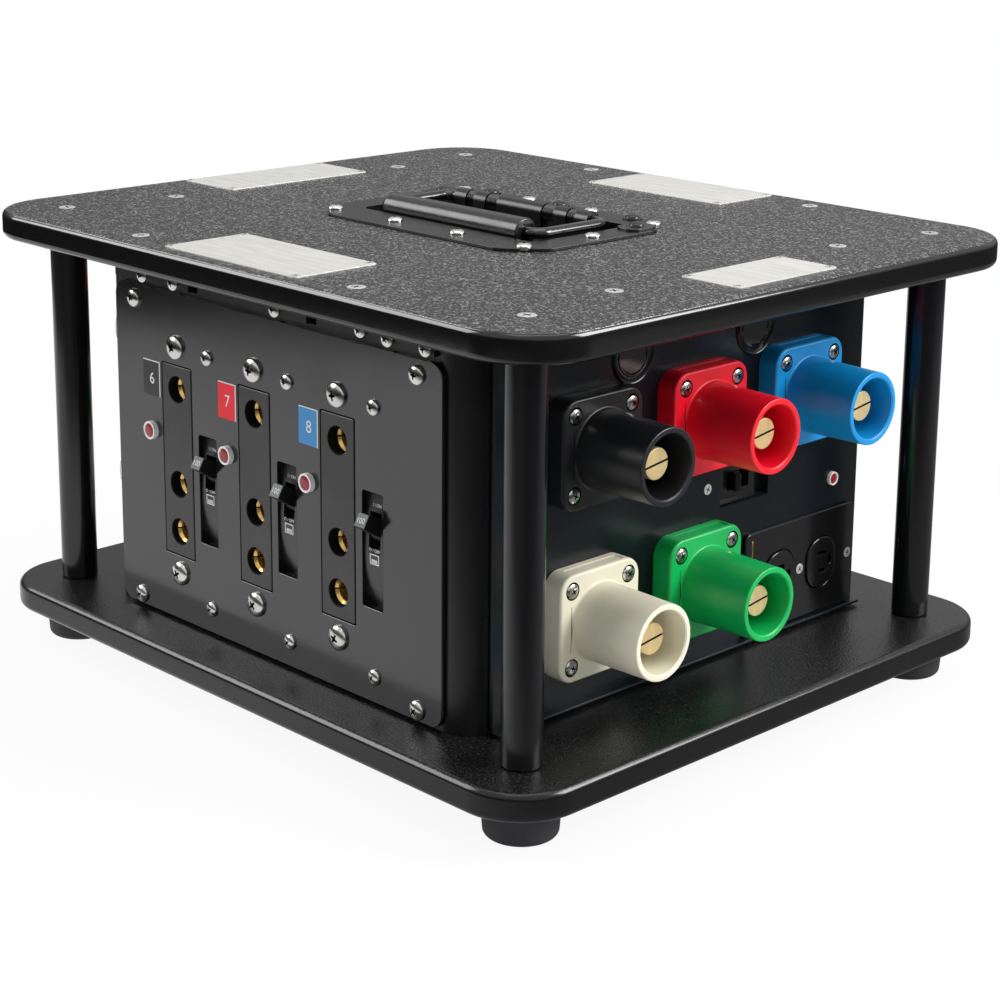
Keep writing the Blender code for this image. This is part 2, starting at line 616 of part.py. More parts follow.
def side_panel(name, turn, places):
    """A flat side panel with a round hole for each cam connector."""
    low = BASE_FACE + PANEL_LIFT
    outline = rounded_rectangle((-SIDE_PANEL_HALF, low), (SIDE_PANEL_HALF, low + SIDE_PANEL_HEIGHT),
                                SIDE_PANEL_CORNER, 3)
    panel = piece(name, prism(outline, "Y", -SIDE_FACE, -SIDE_FACE + PANEL_THICKNESS), "steel_black", turn)
    holes = [prism(circle(BOSS_RADIUS + SLOT_CLEARANCE, FINE_ROUND, (x, BASE_FACE + height)), "Y",
                   -SIDE_FACE - PANEL_THICKNESS, -SIDE_FACE + 2 * PANEL_THICKNESS)
             for _, x, height in places]
    return panel, holes


def cam_body(name, turn, finish, x, height):
    """The flange, tapered sleeve and rear boss that all cam connectors share, without a bore."""
    centre = Vector((x, -SIDE_FACE - SEAT, BASE_FACE + height))
    outline = rounded_rectangle((-FLANGE_HALF, -FLANGE_HALF), (FLANGE_HALF, FLANGE_HALF), FLANGE_CORNER, 3)
    body = piece(name, prism(outline, "Y", -FLANGE_THICKNESS, 0, FLANGE_EDGE, "low", 1), finish, turn, centre)
    rim = -FLANGE_THICKNESS - SLEEVE_LENGTH
    sleeve = [(0, rim), (SLEEVE_RIM_RADIUS, rim), (SLEEVE_ROOT_RADIUS, -FLANGE_THICKNESS),
              (SLEEVE_ROOT_RADIUS, -FLANGE_THICKNESS / 2), (BOSS_RADIUS, -FLANGE_THICKNESS / 2),
              (BOSS_RADIUS, BOSS_DEPTH), (0, BOSS_DEPTH)]
    fuse(body, turned(sleeve, "Y", FINE_ROUND))
    return body, centre, rim


def flange_screw_holes():
    """Cutters for the four counterbores in a cam connector's flange."""
    front, floor = -FLANGE_THICKNESS - FLANGE_SCREW_DEPTH, -FLANGE_THICKNESS + FLANGE_SCREW_DEPTH
    corners = [(x, z) for x in (-FLANGE_SCREW_HALF, FLANGE_SCREW_HALF)
               for z in (-FLANGE_SCREW_HALF, FLANGE_SCREW_HALF)]
    return [prism(circle(FLANGE_SCREW_RADIUS, SMALL_ROUND, corner), "Y", front, floor)
            for corner in corners]


def make_cam_inlet(colour, turn, x, height):
    """A male cam inlet: a housing whose sleeve stands round a slotted brass pin."""
    body, centre, rim = cam_body(f"cam_inlet_{colour}", turn, f"cam_{colour}", x, height)
    floor = -SLEEVE_FLOOR
    hole = PIN_RADIUS + SEAT
    bore = [(0, rim - SLEEVE_FLOOR), (SLEEVE_BORE, rim - SLEEVE_FLOOR), (SLEEVE_BORE, floor), (hole, floor),
            (hole, BOSS_DEPTH + SLEEVE_FLOOR), (0, BOSS_DEPTH + SLEEVE_FLOOR)]
    cut(body, joined([turned(bore, "Y", FINE_ROUND)] + flange_screw_holes()))
    tip = rim + PIN_RECESS
    seat = BOSS_DEPTH + SEAT
    chamfer = PIN_SLOT_WIDTH / 2
    profile = [(0, tip), (PIN_RADIUS - chamfer, tip), (PIN_RADIUS, tip + chamfer), (PIN_RADIUS, seat),
               (PIN_SHOULDER, seat), (PIN_SHOULDER, seat + PIN_SHOULDER_LENGTH),
               (PIN_STUD_RADIUS, seat + PIN_SHOULDER_LENGTH),
               (PIN_STUD_RADIUS, seat + PIN_SHOULDER_LENGTH + PIN_STUD_LENGTH),
               (0, seat + PIN_SHOULDER_LENGTH + PIN_STUD_LENGTH)]
    pin = piece(f"cam_pin_{colour}", turned(profile, "Y", ROUND), "brass", turn, centre)
    cut(pin, box((-2 * PIN_RADIUS, tip - PIN_SLOT_DEPTH, -PIN_SLOT_WIDTH / 2),
                 (2 * PIN_RADIUS, tip + PIN_SLOT_DEPTH, PIN_SLOT_WIDTH / 2)))


def make_cam_outlet(colour, turn, x, height):
    """A female feed-through outlet with hinge ears on its nose, and its flip cover."""
    body, centre, rim = cam_body(f"cam_outlet_{colour}", turn, f"cam_{colour}", x, height)
    hinge_y = rim + HINGE_BACKSET
    half = HINGE_KNUCKLE_WIDTH / 2 + RUNNING
    steps = [math.pi * i / 6 for i in range(7)]
    ear = [(hinge_y + HINGE_EAR_RADIUS * math.cos(a), HINGE_HEIGHT + HINGE_EAR_RADIUS * math.sin(a))
           for a in steps]
    root = SLEEVE_RIM_RADIUS - HINGE_EAR_RADIUS
    ear += [(hinge_y - HINGE_EAR_RADIUS, root), (hinge_y + 2 * HINGE_EAR_RADIUS, root)]
    fuse(body, prism(ear, "X", -half - HINGE_EAR_WIDTH, half + HINGE_EAR_WIDTH))
    socket = [(0, rim - SLEEVE_FLOOR), (SOCKET_RADIUS, rim - SLEEVE_FLOOR),
              (SOCKET_RADIUS, rim + SOCKET_DEPTH), (0, rim + SOCKET_DEPTH)]
    gap = box((-half, rim - SLEEVE_FLOOR, SLEEVE_RIM_RADIUS + SEAT),
              (half, hinge_y + 3 * HINGE_EAR_RADIUS, 2 * HINGE_HEIGHT))
    cut(body, joined([turned(socket, "Y", ROUND), gap] + flange_screw_holes()))
    pin = trunnion_mesh(HINGE_PIN_RADIUS, half + HINGE_EAR_WIDTH / 2)
    fuse(body, shifted(pin, (0, hinge_y, HINGE_HEIGHT)))
    make_flip_cover(colour, turn, centre + Vector((0, hinge_y, HINGE_HEIGHT)))


def make_flip_cover(colour, turn, hinge):
    """A clear round cover about its hinge, with a raised rim and a knuckle round the pin."""
    back = -HINGE_BACKSET - SEAT
    front = back - COVER_THICKNESS
    inner = COVER_RADIUS - COVER_RIM
    profile = [(0, back), (COVER_RADIUS, back), (COVER_RADIUS, front - COVER_RIM_RISE),
               (inner, front - COVER_RIM_RISE), (inner, front), (0, front)]
    disc = shifted(turned(profile, "Y", ROUND), (0, 0, -HINGE_HEIGHT))
    cover = piece(f"flip_cover_{colour}", disc, "clear", turn, hinge)
    half = HINGE_KNUCKLE_WIDTH / 2
    steps = [math.radians(-90) + math.pi * i / 6 for i in range(7)]
    knuckle = [(HINGE_RING_RADIUS * math.cos(a), HINGE_RING_RADIUS * math.sin(a)) for a in steps]
    mid = back - COVER_THICKNESS / 2
    knuckle += [(mid, HINGE_RING_RADIUS), (mid, -HINGE_RING_RADIUS)]
    fuse(cover, prism(knuckle, "X", -half, half))
    cut(cover, trunnion_mesh(HINGE_PIN_RADIUS + RUNNING, 2 * half))


def make_inlet_side():
    """The right-hand panel with five cam inlets, a duplex receptacle and a small breaker."""
    places = cam_places(False)
    panel, holes = side_panel("inlet_panel", RIGHT, places)
    low = BASE_FACE + PANEL_LIFT
    lip = box((-SIDE_PANEL_HALF, -SIDE_FACE - LEDGE_DEPTH, low),
              (SIDE_PANEL_HALF, -SIDE_FACE + PANEL_THICKNESS / 2, low + LEDGE_THICKNESS))
    plug_height = low + SIDE_PANEL_HEIGHT - HOLE_PLUG_DROP
    plug_front, plug_back = -SIDE_FACE - HOLE_PLUG_RISE, -SIDE_FACE + PANEL_THICKNESS / 2
    plug = [(0, plug_front), (HOLE_PLUG_RADIUS - HOLE_PLUG_RISE, plug_front),
            (HOLE_PLUG_RADIUS, -SIDE_FACE), (HOLE_PLUG_RADIUS, plug_back), (0, plug_back)]
    plugs = [shifted(turned(plug, "Y", ROUND), (side * HOLE_PLUG_SPACING / 2, 0, plug_height))
             for side in (-1, 1)]
    fuse(panel, joined([lip] + plugs))
    c = SLOT_CLEARANCE
    y0, y1 = -SIDE_FACE - PANEL_THICKNESS, -SIDE_FACE + 2 * PANEL_THICKNESS
    breaker_z = BASE_FACE + SMALL_BREAKER_HEIGHT
    half_x, half_z = SMALL_BREAKER_HALF_X + c, SMALL_BREAKER_HALF_Z + c
    holes.append(box((SMALL_BREAKER_X - half_x, y0, breaker_z - half_z),
                     (SMALL_BREAKER_X + half_x, y1, breaker_z + half_z)))
    duplex_z = BASE_FACE + DUPLEX_HEIGHT
    half_x, half_z = DUPLEX_BODY_HALF_X + c, DUPLEX_BODY_HALF_Z + c
    holes.append(box((DUPLEX_X - half_x, y0, duplex_z - half_z),
                     (DUPLEX_X + half_x, y1, duplex_z + half_z)))
    cut(panel, joined(holes))
    for colour, x, height in places:
        make_cam_inlet(colour, RIGHT, x, height)
    make_duplex(duplex_z)
    make_small_breaker(breaker_z)


def make_duplex(z):
    """A cover plate with two receptacle faces mounted sideways, and the device behind it."""
    back = -SIDE_FACE - SEAT
    front = back - DUPLEX_PLATE
    outline = rounded_rectangle((DUPLEX_X - DUPLEX_HALF_X, z - DUPLEX_HALF_Z),
                                (DUPLEX_X + DUPLEX_HALF_X, z + DUPLEX_HALF_Z), DUPLEX_CORNER, 3)
    plate = piece("duplex_receptacle", prism(outline, "Y", front, back, OUTLET_EDGE, "low", 1),
                  "plastic_black", RIGHT)
    fuse(plate, box((DUPLEX_X - DUPLEX_BODY_HALF_X, back - DUPLEX_PLATE / 2, z - DUPLEX_BODY_HALF_Z),
                    (DUPLEX_X + DUPLEX_BODY_HALF_X, back + DUPLEX_BODY_DEPTH, z + DUPLEX_BODY_HALF_Z)))
    faces, slots = [], []
    for side in (-1, 1):
        x = DUPLEX_X + side * FACE_SPACING / 2
        shape = rounded_rectangle((x - FACE_HALF_X, z - FACE_HALF_Z), (x + FACE_HALF_X, z + FACE_HALF_Z),
                                  FACE_CORNER, 3)
        faces.append(prism(shape, "Y", front - FACE_PROUD, back - DUPLEX_PLATE / 2, FACE_PROUD / 2, "low", 1))
        y0, y1 = front - 2 * FACE_PROUD, front + SLOT_DEPTH
        for blade in (-1, 1):
            mid = z + blade * BLADE_OFFSET
            slots.append(box((x - BLADE_SLOT[0] / 2, y0, mid - BLADE_SLOT[1] / 2),
                             (x + BLADE_SLOT[0] / 2, y1, mid + BLADE_SLOT[1] / 2)))
        earth = x + EARTH_OFFSET
        slots.append(box((earth - EARTH_SLOT[0] / 2, y0, z - EARTH_SLOT[1] / 2),
                         (earth + EARTH_SLOT[0] / 2, y1, z + EARTH_SLOT[1] / 2)))
    fuse(plate, joined(faces))
    cut(plate, joined(slots))


def make_small_breaker(z):
    """A small breaker lying on its side behind its window, with a handle that swings sideways."""
    front = -SIDE_FACE + SMALL_BREAKER_SUNK
    x, half_x, half_z = SMALL_BREAKER_X, SMALL_BREAKER_HALF_X, SMALL_BREAKER_HALF_Z
    case = box((x - half_x, front, z - half_z), (x + half_x, front + SMALL_BREAKER_DEPTH, z + half_z))
    body = piece("small_breaker", case, "plastic_black", RIGHT)
    behind = -SIDE_FACE + PANEL_THICKNESS + SEAT
    wide_x, wide_z = half_x + SMALL_BREAKER_BACK, half_z + SMALL_BREAKER_BACK
    rim = [box((x - wide_x, behind, z - wide_z), (x + wide_x, front + SMALL_BREAKER_BACK, z + wide_z))]
    fuse(body, joined(rim))
    cut(body, box((x - half_x, behind - SMALL_BREAKER_BACK, z - half_z), (x + half_x, front, z + half_z)))
    pivot = Vector((x, front + SMALL_PIVOT_DEPTH, z))
    room = SMALL_HANDLE_WIDTH / 2 + RUNNING
    cut(body, box((x - SMALL_POCKET_HALF, front - SMALL_PIVOT_DEPTH, z - room),
                  (x + SMALL_POCKET_HALF, pivot.y + SMALL_HUB_RADIUS + RUNNING, z + room)))
    turn_up = Matrix.Rotation(math.radians(90), 4, "Y")
    bearing = trunnion_mesh(TRUNNION_RADIUS + RUNNING, SMALL_HANDLE_WIDTH / 2 + TRUNNION_LENGTH + RUNNING)
    bmesh.ops.transform(bearing, matrix=turn_up, verts=bearing.verts)
    cut(body, shifted(bearing, pivot))
    handle = piece("small_breaker_handle",
                   handle_mesh(SMALL_HUB_RADIUS, SMALL_HANDLE_RADIUS, SMALL_HANDLE_ROOT, SMALL_HANDLE_TIP,
                               SMALL_HANDLE_WIDTH), "plastic_black", RIGHT, pivot)
    lean = Matrix.Rotation(-HANDLE_REST_ANGLE, 4, "Z")
    handle.data.transform(lean @ turn_up)
    shaft = trunnion_mesh(TRUNNION_RADIUS, SMALL_HANDLE_WIDTH / 2 + TRUNNION_LENGTH)
    bmesh.ops.transform(shaft, matrix=turn_up, verts=shaft.verts)
    fuse(handle, shaft)


def make_feed_through_side():
    """The left-hand panel with five female cam outlets under flip covers."""
    places = cam_places(True)
    panel, holes = side_panel("feed_through_panel", LEFT, places)
    cut(panel, joined(holes))
    for colour, x, height in places:
        make_cam_outlet(colour, LEFT, x, height)


def make_recessed_handle():
    """The pressed pan with its hinge knuckles, the wire bail that turns in them, and its grip."""
    low, high = TOP_FACE + SEAT, TOP_FACE + SEAT + PAN_SHEET
    outline = clipped_rectangle(PAN_HALF_X, PAN_HALF_Y, PAN_CLIP, PAN_CLIP)
    pan = piece("handle_pan", prism(outline, "Z", low, high, PAN_SHEET / 3, "high", 1), "steel_black")
    grow = PAN_SHEET
    tray = rounded_rectangle((-TRAY_HALF_X - grow, -TRAY_FRONT - grow),
                             (TRAY_HALF_X + grow, TRAY_BACK + grow), TRAY_CORNER + grow, 4)
    floor = TOP_FACE - TRAY_DEPTH
    fuse(pan, prism(tray, "Z", floor - PAN_SHEET, low + PAN_SHEET / 2))
    opening = rounded_rectangle((-TRAY_HALF_X, -TRAY_FRONT), (TRAY_HALF_X, TRAY_BACK), TRAY_CORNER, 4)
    cut(pan, prism(opening, "Z", floor, high + PAN_SHEET))
    pivot = Vector((0, BAIL_PIVOT_Y, TOP_FACE + BAIL_PIVOT_RISE))
    root = floor - PAN_SHEET / 2
    steps = [math.pi * i / 6 for i in range(7)]
    outline = [(pivot.y + KNUCKLE_RADIUS * math.cos(a), pivot.z + KNUCKLE_RADIUS * math.sin(a))
               for a in steps]
    outline += [(pivot.y - KNUCKLE_RADIUS, root), (pivot.y + KNUCKLE_RADIUS, root)]
    fuse(pan, joined([prism(outline, "X", start, end) for start, end in KNUCKLE_SPANS]))
    bore = prism(circle(BAIL_WIRE + RUNNING, BORE_ROUND), "X", KNUCKLE_SPANS[0][0] - BAIL_WIRE,
                 KNUCKLE_SPANS[-1][1] + BAIL_WIRE)
    cut(pan, shifted(bore, pivot))
    make_bail(pivot)


def make_bail(pivot):
    """The wire bail as a closed loop about its hinge, and the grip on its outer side."""
    loop = rounded_rectangle((-BAIL_HALF_X, -BAIL_REACH), (BAIL_HALF_X, 0.0), BAIL_BEND, 4)
    curve = bpy.data.curves.new("handle_bail", "CURVE")
    curve.dimensions = "3D"
    spline = curve.splines.new("POLY")
    spline.points.add(len(loop) - 1)
    for point, (x, y) in zip(spline.points, loop):
        point.co = (x, y, 0.0, 1.0)
    spline.use_cyclic_u = True
    spline.use_smooth = True
    curve.bevel_depth = BAIL_WIRE
    curve.bevel_resolution = 2
    bail = bpy.data.objects.new("handle_bail", curve)
    bail.location = pivot
    curve.materials.append(material("post_black"))
    bpy.context.scene.collection.objects.link(bail)
    inner = BAIL_WIRE + SEAT
    shoulder = GRIP_HALF - GRIP_EDGE
    profile = [(inner, -GRIP_HALF), (GRIP_RADIUS - GRIP_EDGE, -GRIP_HALF), (GRIP_RADIUS, -shoulder),
               (GRIP_RADIUS, shoulder), (GRIP_RADIUS - GRIP_EDGE, GRIP_HALF), (inner, GRIP_HALF)]
    grip = shifted(turned(profile, "X", ROUND), (0, -BAIL_REACH, 0))
    piece("handle_grip", grip, "grip", location=pivot)


def main():
    """Clears the scene and makes every piece."""
    for old in list(bpy.data.objects):
        bpy.data.objects.remove(old)
    make_decks()
    make_posts_and_feet()
    make_enclosure()
    make_outlet_side("front", FRONT, (6, 7, 8))
    make_outlet_side("back", BACK, (3, 4, 5))
    make_inlet_side()
    make_feed_through_side()
    make_recessed_handle()


main()
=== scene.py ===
"""Looks for the power distribution box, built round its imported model.

Each sub-assembly is a class with its sizes as fields. A piece of a side is drawn as if that side
faced -Y, in metres, and is then turned about Z to the side it belongs to. Heights that a field
calls a rise are counted from the top face of the base deck.
"""
import json
import logging
import math
from dataclasses import dataclass, field
from enum import Enum
from typing import Iterable, Sequence

import bmesh
import bpy
from bmesh.types import BMEdge, BMesh
from mathutils import Matrix, Vector


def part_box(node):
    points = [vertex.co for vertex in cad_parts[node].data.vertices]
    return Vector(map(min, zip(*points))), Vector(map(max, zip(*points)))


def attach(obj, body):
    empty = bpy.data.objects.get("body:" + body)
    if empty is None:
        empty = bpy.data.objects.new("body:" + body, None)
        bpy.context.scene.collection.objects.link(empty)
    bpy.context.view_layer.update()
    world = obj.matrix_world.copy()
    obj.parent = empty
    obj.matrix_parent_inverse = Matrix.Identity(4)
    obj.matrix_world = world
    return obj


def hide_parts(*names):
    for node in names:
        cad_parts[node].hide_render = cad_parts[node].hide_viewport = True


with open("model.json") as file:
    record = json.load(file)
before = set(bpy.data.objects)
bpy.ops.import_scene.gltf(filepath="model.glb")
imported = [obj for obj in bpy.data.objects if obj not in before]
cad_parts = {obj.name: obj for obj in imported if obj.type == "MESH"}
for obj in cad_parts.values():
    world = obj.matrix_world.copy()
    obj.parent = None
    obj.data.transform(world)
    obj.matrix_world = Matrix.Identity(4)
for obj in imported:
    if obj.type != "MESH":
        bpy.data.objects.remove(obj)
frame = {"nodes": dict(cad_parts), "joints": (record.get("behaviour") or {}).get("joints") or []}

LOG = logging.getLogger("distribution_box")
SEAM = 0.0003           # dark line left between neighbouring pieces
PAST = 0.01             # how far a cutter reaches past what it cuts
INLET_SHEET = 0.003     # thickness of the inlet panel
Point = tuple[float, float]
Place = tuple[float, float, float]
Colour = tuple[float, float, float]
Ramp = tuple[float, float, float, float]    # a value's own range, and the range it is mapped to


class Axis(Enum):
    """An axis of the box, by its number in a vector."""

    X = 0
    Y = 1
    Z = 2


class Ends(Enum):
    """Which ends of a slab or an extrusion have their rims rounded."""

    LOW = "low"
    HIGH = "high"
    BOTH = "both"


class Side(Enum):
    """A side of the box, by its turn about Z from the front."""

    FRONT = 0
    RIGHT = 90
    BACK = 180
    LEFT = 270

    def matrix(self) -> Matrix:
        """The turn that takes the front's drawing to this side."""
        return Matrix.Rotation(math.radians(self.value), 3, "Z")


class ScrewKind(Enum):
    """Phillips screws: head radius, head height, and the share of the radius its cross reaches."""

    TRUSS = (0.0085, 0.0044, 0.54)
    CORNER = (0.0066, 0.0036, 0.56)
    PAN = (0.0054, 0.0031, 0.58)
    CAM = (0.0051, 0.0026, 0.60)
    DECK = (0.0058, 0.0004, 0.62)
    PLATE = (0.0031, 0.0004, 0.60)
    SMALL_FLAT = (0.0036, 0.0004, 0.66)


# ---------------------------------------------------------------- finishes


def computed(tree: bpy.types.NodeTree, operation: str,
             *values: bpy.types.NodeSocket | float) -> bpy.types.NodeSocket:
    """What a math node makes of its values.

    Args:
        tree: The node tree that it is made in.
        operation: What the node does.
        values: Its inputs, each a number or a socket.

    Returns:
        The socket with the result.
    """
    made = tree.nodes.new("ShaderNodeMath")
    made.operation = operation
    for socket, value in zip(made.inputs, values):
        if isinstance(value, float):
            socket.default_value = value
        else:
            tree.links.new(value, socket)
    return made.outputs[0]


def mapped(tree: bpy.types.NodeTree, value: bpy.types.NodeSocket, ramp: Ramp) -> bpy.types.NodeSocket:
    """A value mapped from one range to another and clamped there."""
    made = tree.nodes.new("ShaderNodeMapRange")
    for socket, number in zip(made.inputs[1:5], ramp):
        socket.default_value = number
    tree.links.new(value, made.inputs[0])
    return made.outputs[0]


class Shading:
    """The node tree of one material, with the few kinds of node that the finishes use."""

    def __init__(self, name: str) -> None:
        """Starts a material with a Principled shader and object coordinates.

        Args:
            name: The material's name.
        """
        self.material = bpy.data.materials.new(name)
        self.material.use_nodes = True
        self.tree = self.material.node_tree
        self.shader = self.tree.nodes["Principled BSDF"]
        self.coordinates = self.tree.nodes.new("ShaderNodeTexCoord")

    def link(self, start: bpy.types.NodeSocket, end: bpy.types.NodeSocket) -> None:
        """Joins an output to an input."""
        self.tree.links.new(start, end)

    def position(self, stretch: Sequence[float]) -> bpy.types.NodeSocket:
        """Object coordinates, scaled along each axis.

        Args:
            stretch: The scale along X, Y and Z.

        Returns:
            The socket with the scaled position.
        """
        mapping = self.tree.nodes.new("ShaderNodeMapping")
        mapping.inputs["Scale"].default_value = tuple(stretch)
        self.link(self.coordinates.outputs["Object"], mapping.inputs["Vector"])
        return mapping.outputs["Vector"]

    def noise(self, scale: float, detail: float = 2.0, stretch: Sequence[float] = (1, 1, 1),
              distortion: float = 0.0) -> bpy.types.NodeSocket:
        """A noise pattern that lies fixed in the object.

        Args:
            scale: How often it changes in a metre.
            detail: How many finer layers it has.
            stretch: Its scale along each axis.
            distortion: How far it is swirled.

        Returns:
            The socket with its value, from 0 to 1.
        """
        made = self.tree.nodes.new("ShaderNodeTexNoise")
        made.inputs["Scale"].default_value = scale
        made.inputs["Detail"].default_value = detail
        made.inputs["Distortion"].default_value = distortion
        self.link(self.position(stretch), made.inputs["Vector"])
        return made.outputs["Fac"]

    def ranged(self, value: bpy.types.NodeSocket, *ramp: float) -> bpy.types.NodeSocket:
        """A value mapped from one range to another and clamped there."""
        return mapped(self.tree, value, ramp)

    def times(self, first: bpy.types.NodeSocket, second: bpy.types.NodeSocket) -> bpy.types.NodeSocket:
        """The product of two values."""
        return computed(self.tree, "MULTIPLY", first, second)

    def blend(self, share: bpy.types.NodeSocket, first: Colour | bpy.types.NodeSocket,
              second: Colour | bpy.types.NodeSocket) -> bpy.types.NodeSocket:
        """A colour between two, each a constant or another socket.

        Args:
            share: How much of the second one there is.
            first: The colour at a share of 0.
            second: The colour at a share of 1.

        Returns:
            The socket with the colour.
        """
        made = self.tree.nodes.new("ShaderNodeMix")
        made.data_type = "RGBA"
        self.link(share, made.inputs["Factor"])
        for socket, value in ((made.inputs[6], first), (made.inputs[7], second)):
            if isinstance(value, tuple):
                socket.default_value = (*value, 1.0)
            else:
                self.link(value, socket)
        return made.outputs[2]

    def up_facing(self, start: float = 0.75, end: float = 0.97) -> bpy.types.NodeSocket:
        """1 where the surface faces up, and 0 where it stands."""
        parts = self.tree.nodes.new("ShaderNodeSeparateXYZ")
        self.link(self.coordinates.outputs["Normal"], parts.inputs[0])
        return self.ranged(parts.outputs["Z"], start, end, 0.0, 1.0)

    def relief(self, height: bpy.types.NodeSocket, depth: float, strength: float = 1.0) -> None:
        """Adds a bump to the shader's normal, over any bump that is there.

        Args:
            height: The pattern of heights, from 0 to 1.
            depth: The height of a value of 1, in metres.
            strength: How much of the bump shows.
        """
        made = self.tree.nodes.new("ShaderNodeBump")
        made.inputs["Distance"].default_value = depth
        made.inputs["Strength"].default_value = strength
        self.link(height, made.inputs["Height"])
        target = self.shader.inputs["Normal"]
        if target.is_linked:
            self.link(target.links[0].from_socket, made.inputs["Normal"])
        self.link(made.outputs["Normal"], target)


@dataclass(frozen=True)
class Finish:
    """A moulded, painted or rubber surface: an even colour that drifts, haze and fine grain."""

    name: str
    colour: Colour
    roughness: float
    metallic: float = 0.0
    drift: float = 0.10
    drift_scale: float = 28.0
    haze: float = 0.05
    haze_scale: float = 22.0
    grain: float = 0.00002
    grain_scale: float = 1400.0
    coat: float = 0.0
    coat_roughness: float = 0.1
    specular: float = 0.5
    stretch: tuple[float, float, float] = (1.0, 1.0, 1.0)

    def material(self) -> bpy.types.Material:
        """The finish's material, made the first time it is asked for."""
        return bpy.data.materials.get(self.name) or self.build()

    def build(self) -> bpy.types.Material:
        """Makes the node material.

        Returns:
            The new material.
        """
        shading = Shading(self.name)
        self.set_constants(shading)
        self.set_colour(shading)
        self.set_gloss(shading)
        self.set_relief(shading)
        return shading.material

    def set_constants(self, shading: Shading) -> None:
        """Sets what is the same all over the surface on the shader's own sockets."""
        inputs = shading.shader.inputs
        inputs["Metallic"].default_value = self.metallic
        inputs["Coat Weight"].default_value = self.coat
        inputs["Coat Roughness"].default_value = self.coat_roughness
        inputs["Specular IOR Level"].default_value = self.specular

    def set_colour(self, shading: Shading) -> None:
        """Lets the colour drift a little from place to place."""
        dark = tuple(c * (1 - self.drift) for c in self.colour)
        light = tuple(c * (1 + self.drift) for c in self.colour)
        share = shading.noise(self.drift_scale, 3.0, self.stretch)
        share = shading.ranged(share, 0.35, 0.65, 0.0, 1.0)
        shading.link(shading.blend(share, dark, light), shading.shader.inputs["Base Color"])

    def set_gloss(self, shading: Shading) -> None:
        """Lets the roughness drift between the finish's own value less and more its haze."""
        share = shading.noise(self.haze_scale, 4.0, self.stretch, 0.6)
        gloss = shading.ranged(share, 0.33, 0.67, self.roughness - self.haze, self.roughness + self.haze)
        shading.link(gloss, shading.shader.inputs["Roughness"])

    def set_relief(self, shading: Shading) -> None:
        """Adds the fine grain of the surface."""
        shading.relief(shading.noise(self.grain_scale, 2.0, self.stretch), self.grain)


@dataclass(frozen=True)
class PebbledBoard(Finish):
    """Composite board: a pebbled top face with pale specks of painted sheen, and smooth edges."""

    pebble_scale: float = 600.0
    pebble_depth: float = 0.0011
    top_roughness: float = 0.36
    # Pale specks on the pebbles' tops: painted sheen.
    speck: Colour = (0.250, 0.250, 0.252)

    def set_colour(self, shading: Shading) -> None:
        """Painted sheen on the tops of pebbles on the faces, and the plain colour on the edges."""
        grain = shading.ranged(shading.noise(self.pebble_scale, 3.0), 0.52, 0.60, 0.0, 1.0)
        coarse = shading.ranged(shading.noise(self.pebble_scale / 3.1, 2.0), 0.35, 0.7, 0.35, 1.0)
        share = shading.times(shading.times(grain, coarse), shading.up_facing())
        shading.link(shading.blend(share, self.colour, self.speck), shading.shader.inputs["Base Color"])

    def set_gloss(self, shading: Shading) -> None:
        """Duller on the pebbled face than on the smooth edge."""
        gloss = shading.ranged(shading.up_facing(), 0.0, 1.0, self.roughness, self.top_roughness)
        shading.link(gloss, shading.shader.inputs["Roughness"])

    def set_relief(self, shading: Shading) -> None:
        """Pebbles on the face, and a slight waviness on the edge."""
        shading.relief(shading.noise(90.0, 3.0), 0.00015, 0.35)
        pebbles = shading.times(shading.noise(self.pebble_scale, 2.0), shading.up_facing())
        shading.relief(pebbles, self.pebble_depth)


@dataclass(frozen=True)
class Brushed(Finish):
    """Metal with fine lines along one axis, which the stretch sets."""

    line_scale: float = 260.0

    def set_colour(self, shading: Shading) -> None:
        """Fine lighter and darker lines over a slow drift."""
        lines = shading.ranged(shading.noise(self.line_scale, 4.0, self.stretch), 0.3, 0.7, 0.0, 1.0)
        dark = tuple(c * (1 - self.drift) for c in self.colour)
        shading.link(shading.blend(lines, dark, self.colour), shading.shader.inputs["Base Color"])

    def set_gloss(self, shading: Shading) -> None:
        """Lines that differ in gloss."""
        lines = shading.noise(self.line_scale * 1.7, 3.0, self.stretch)
        gloss = shading.ranged(lines, 0.3, 0.7, self.roughness - self.haze, self.roughness + self.haze)
        shading.link(gloss, shading.shader.inputs["Roughness"])

    def set_relief(self, shading: Shading) -> None:
        """The brushed lines themselves."""
        shading.relief(shading.noise(self.line_scale * 3, 2.0, self.stretch), self.grain)


@dataclass(frozen=True)
class Clear(Finish):
    """Clear moulded plastic."""

    transmission: float = 0.94
    ior: float = 1.46

    def set_constants(self, shading: Shading) -> None:
        """Adds the transmission to the constants."""
        super().set_constants(shading)
        shading.shader.inputs["Transmission Weight"].default_value = self.transmission
        shading.shader.inputs["IOR"].default_value = self.ior


# The upper board, with painted sheen on its pebbles.
DECK = PebbledBoard("board_pebbled", (0.0060, 0.0060, 0.0064), 0.12, specular=0.6)
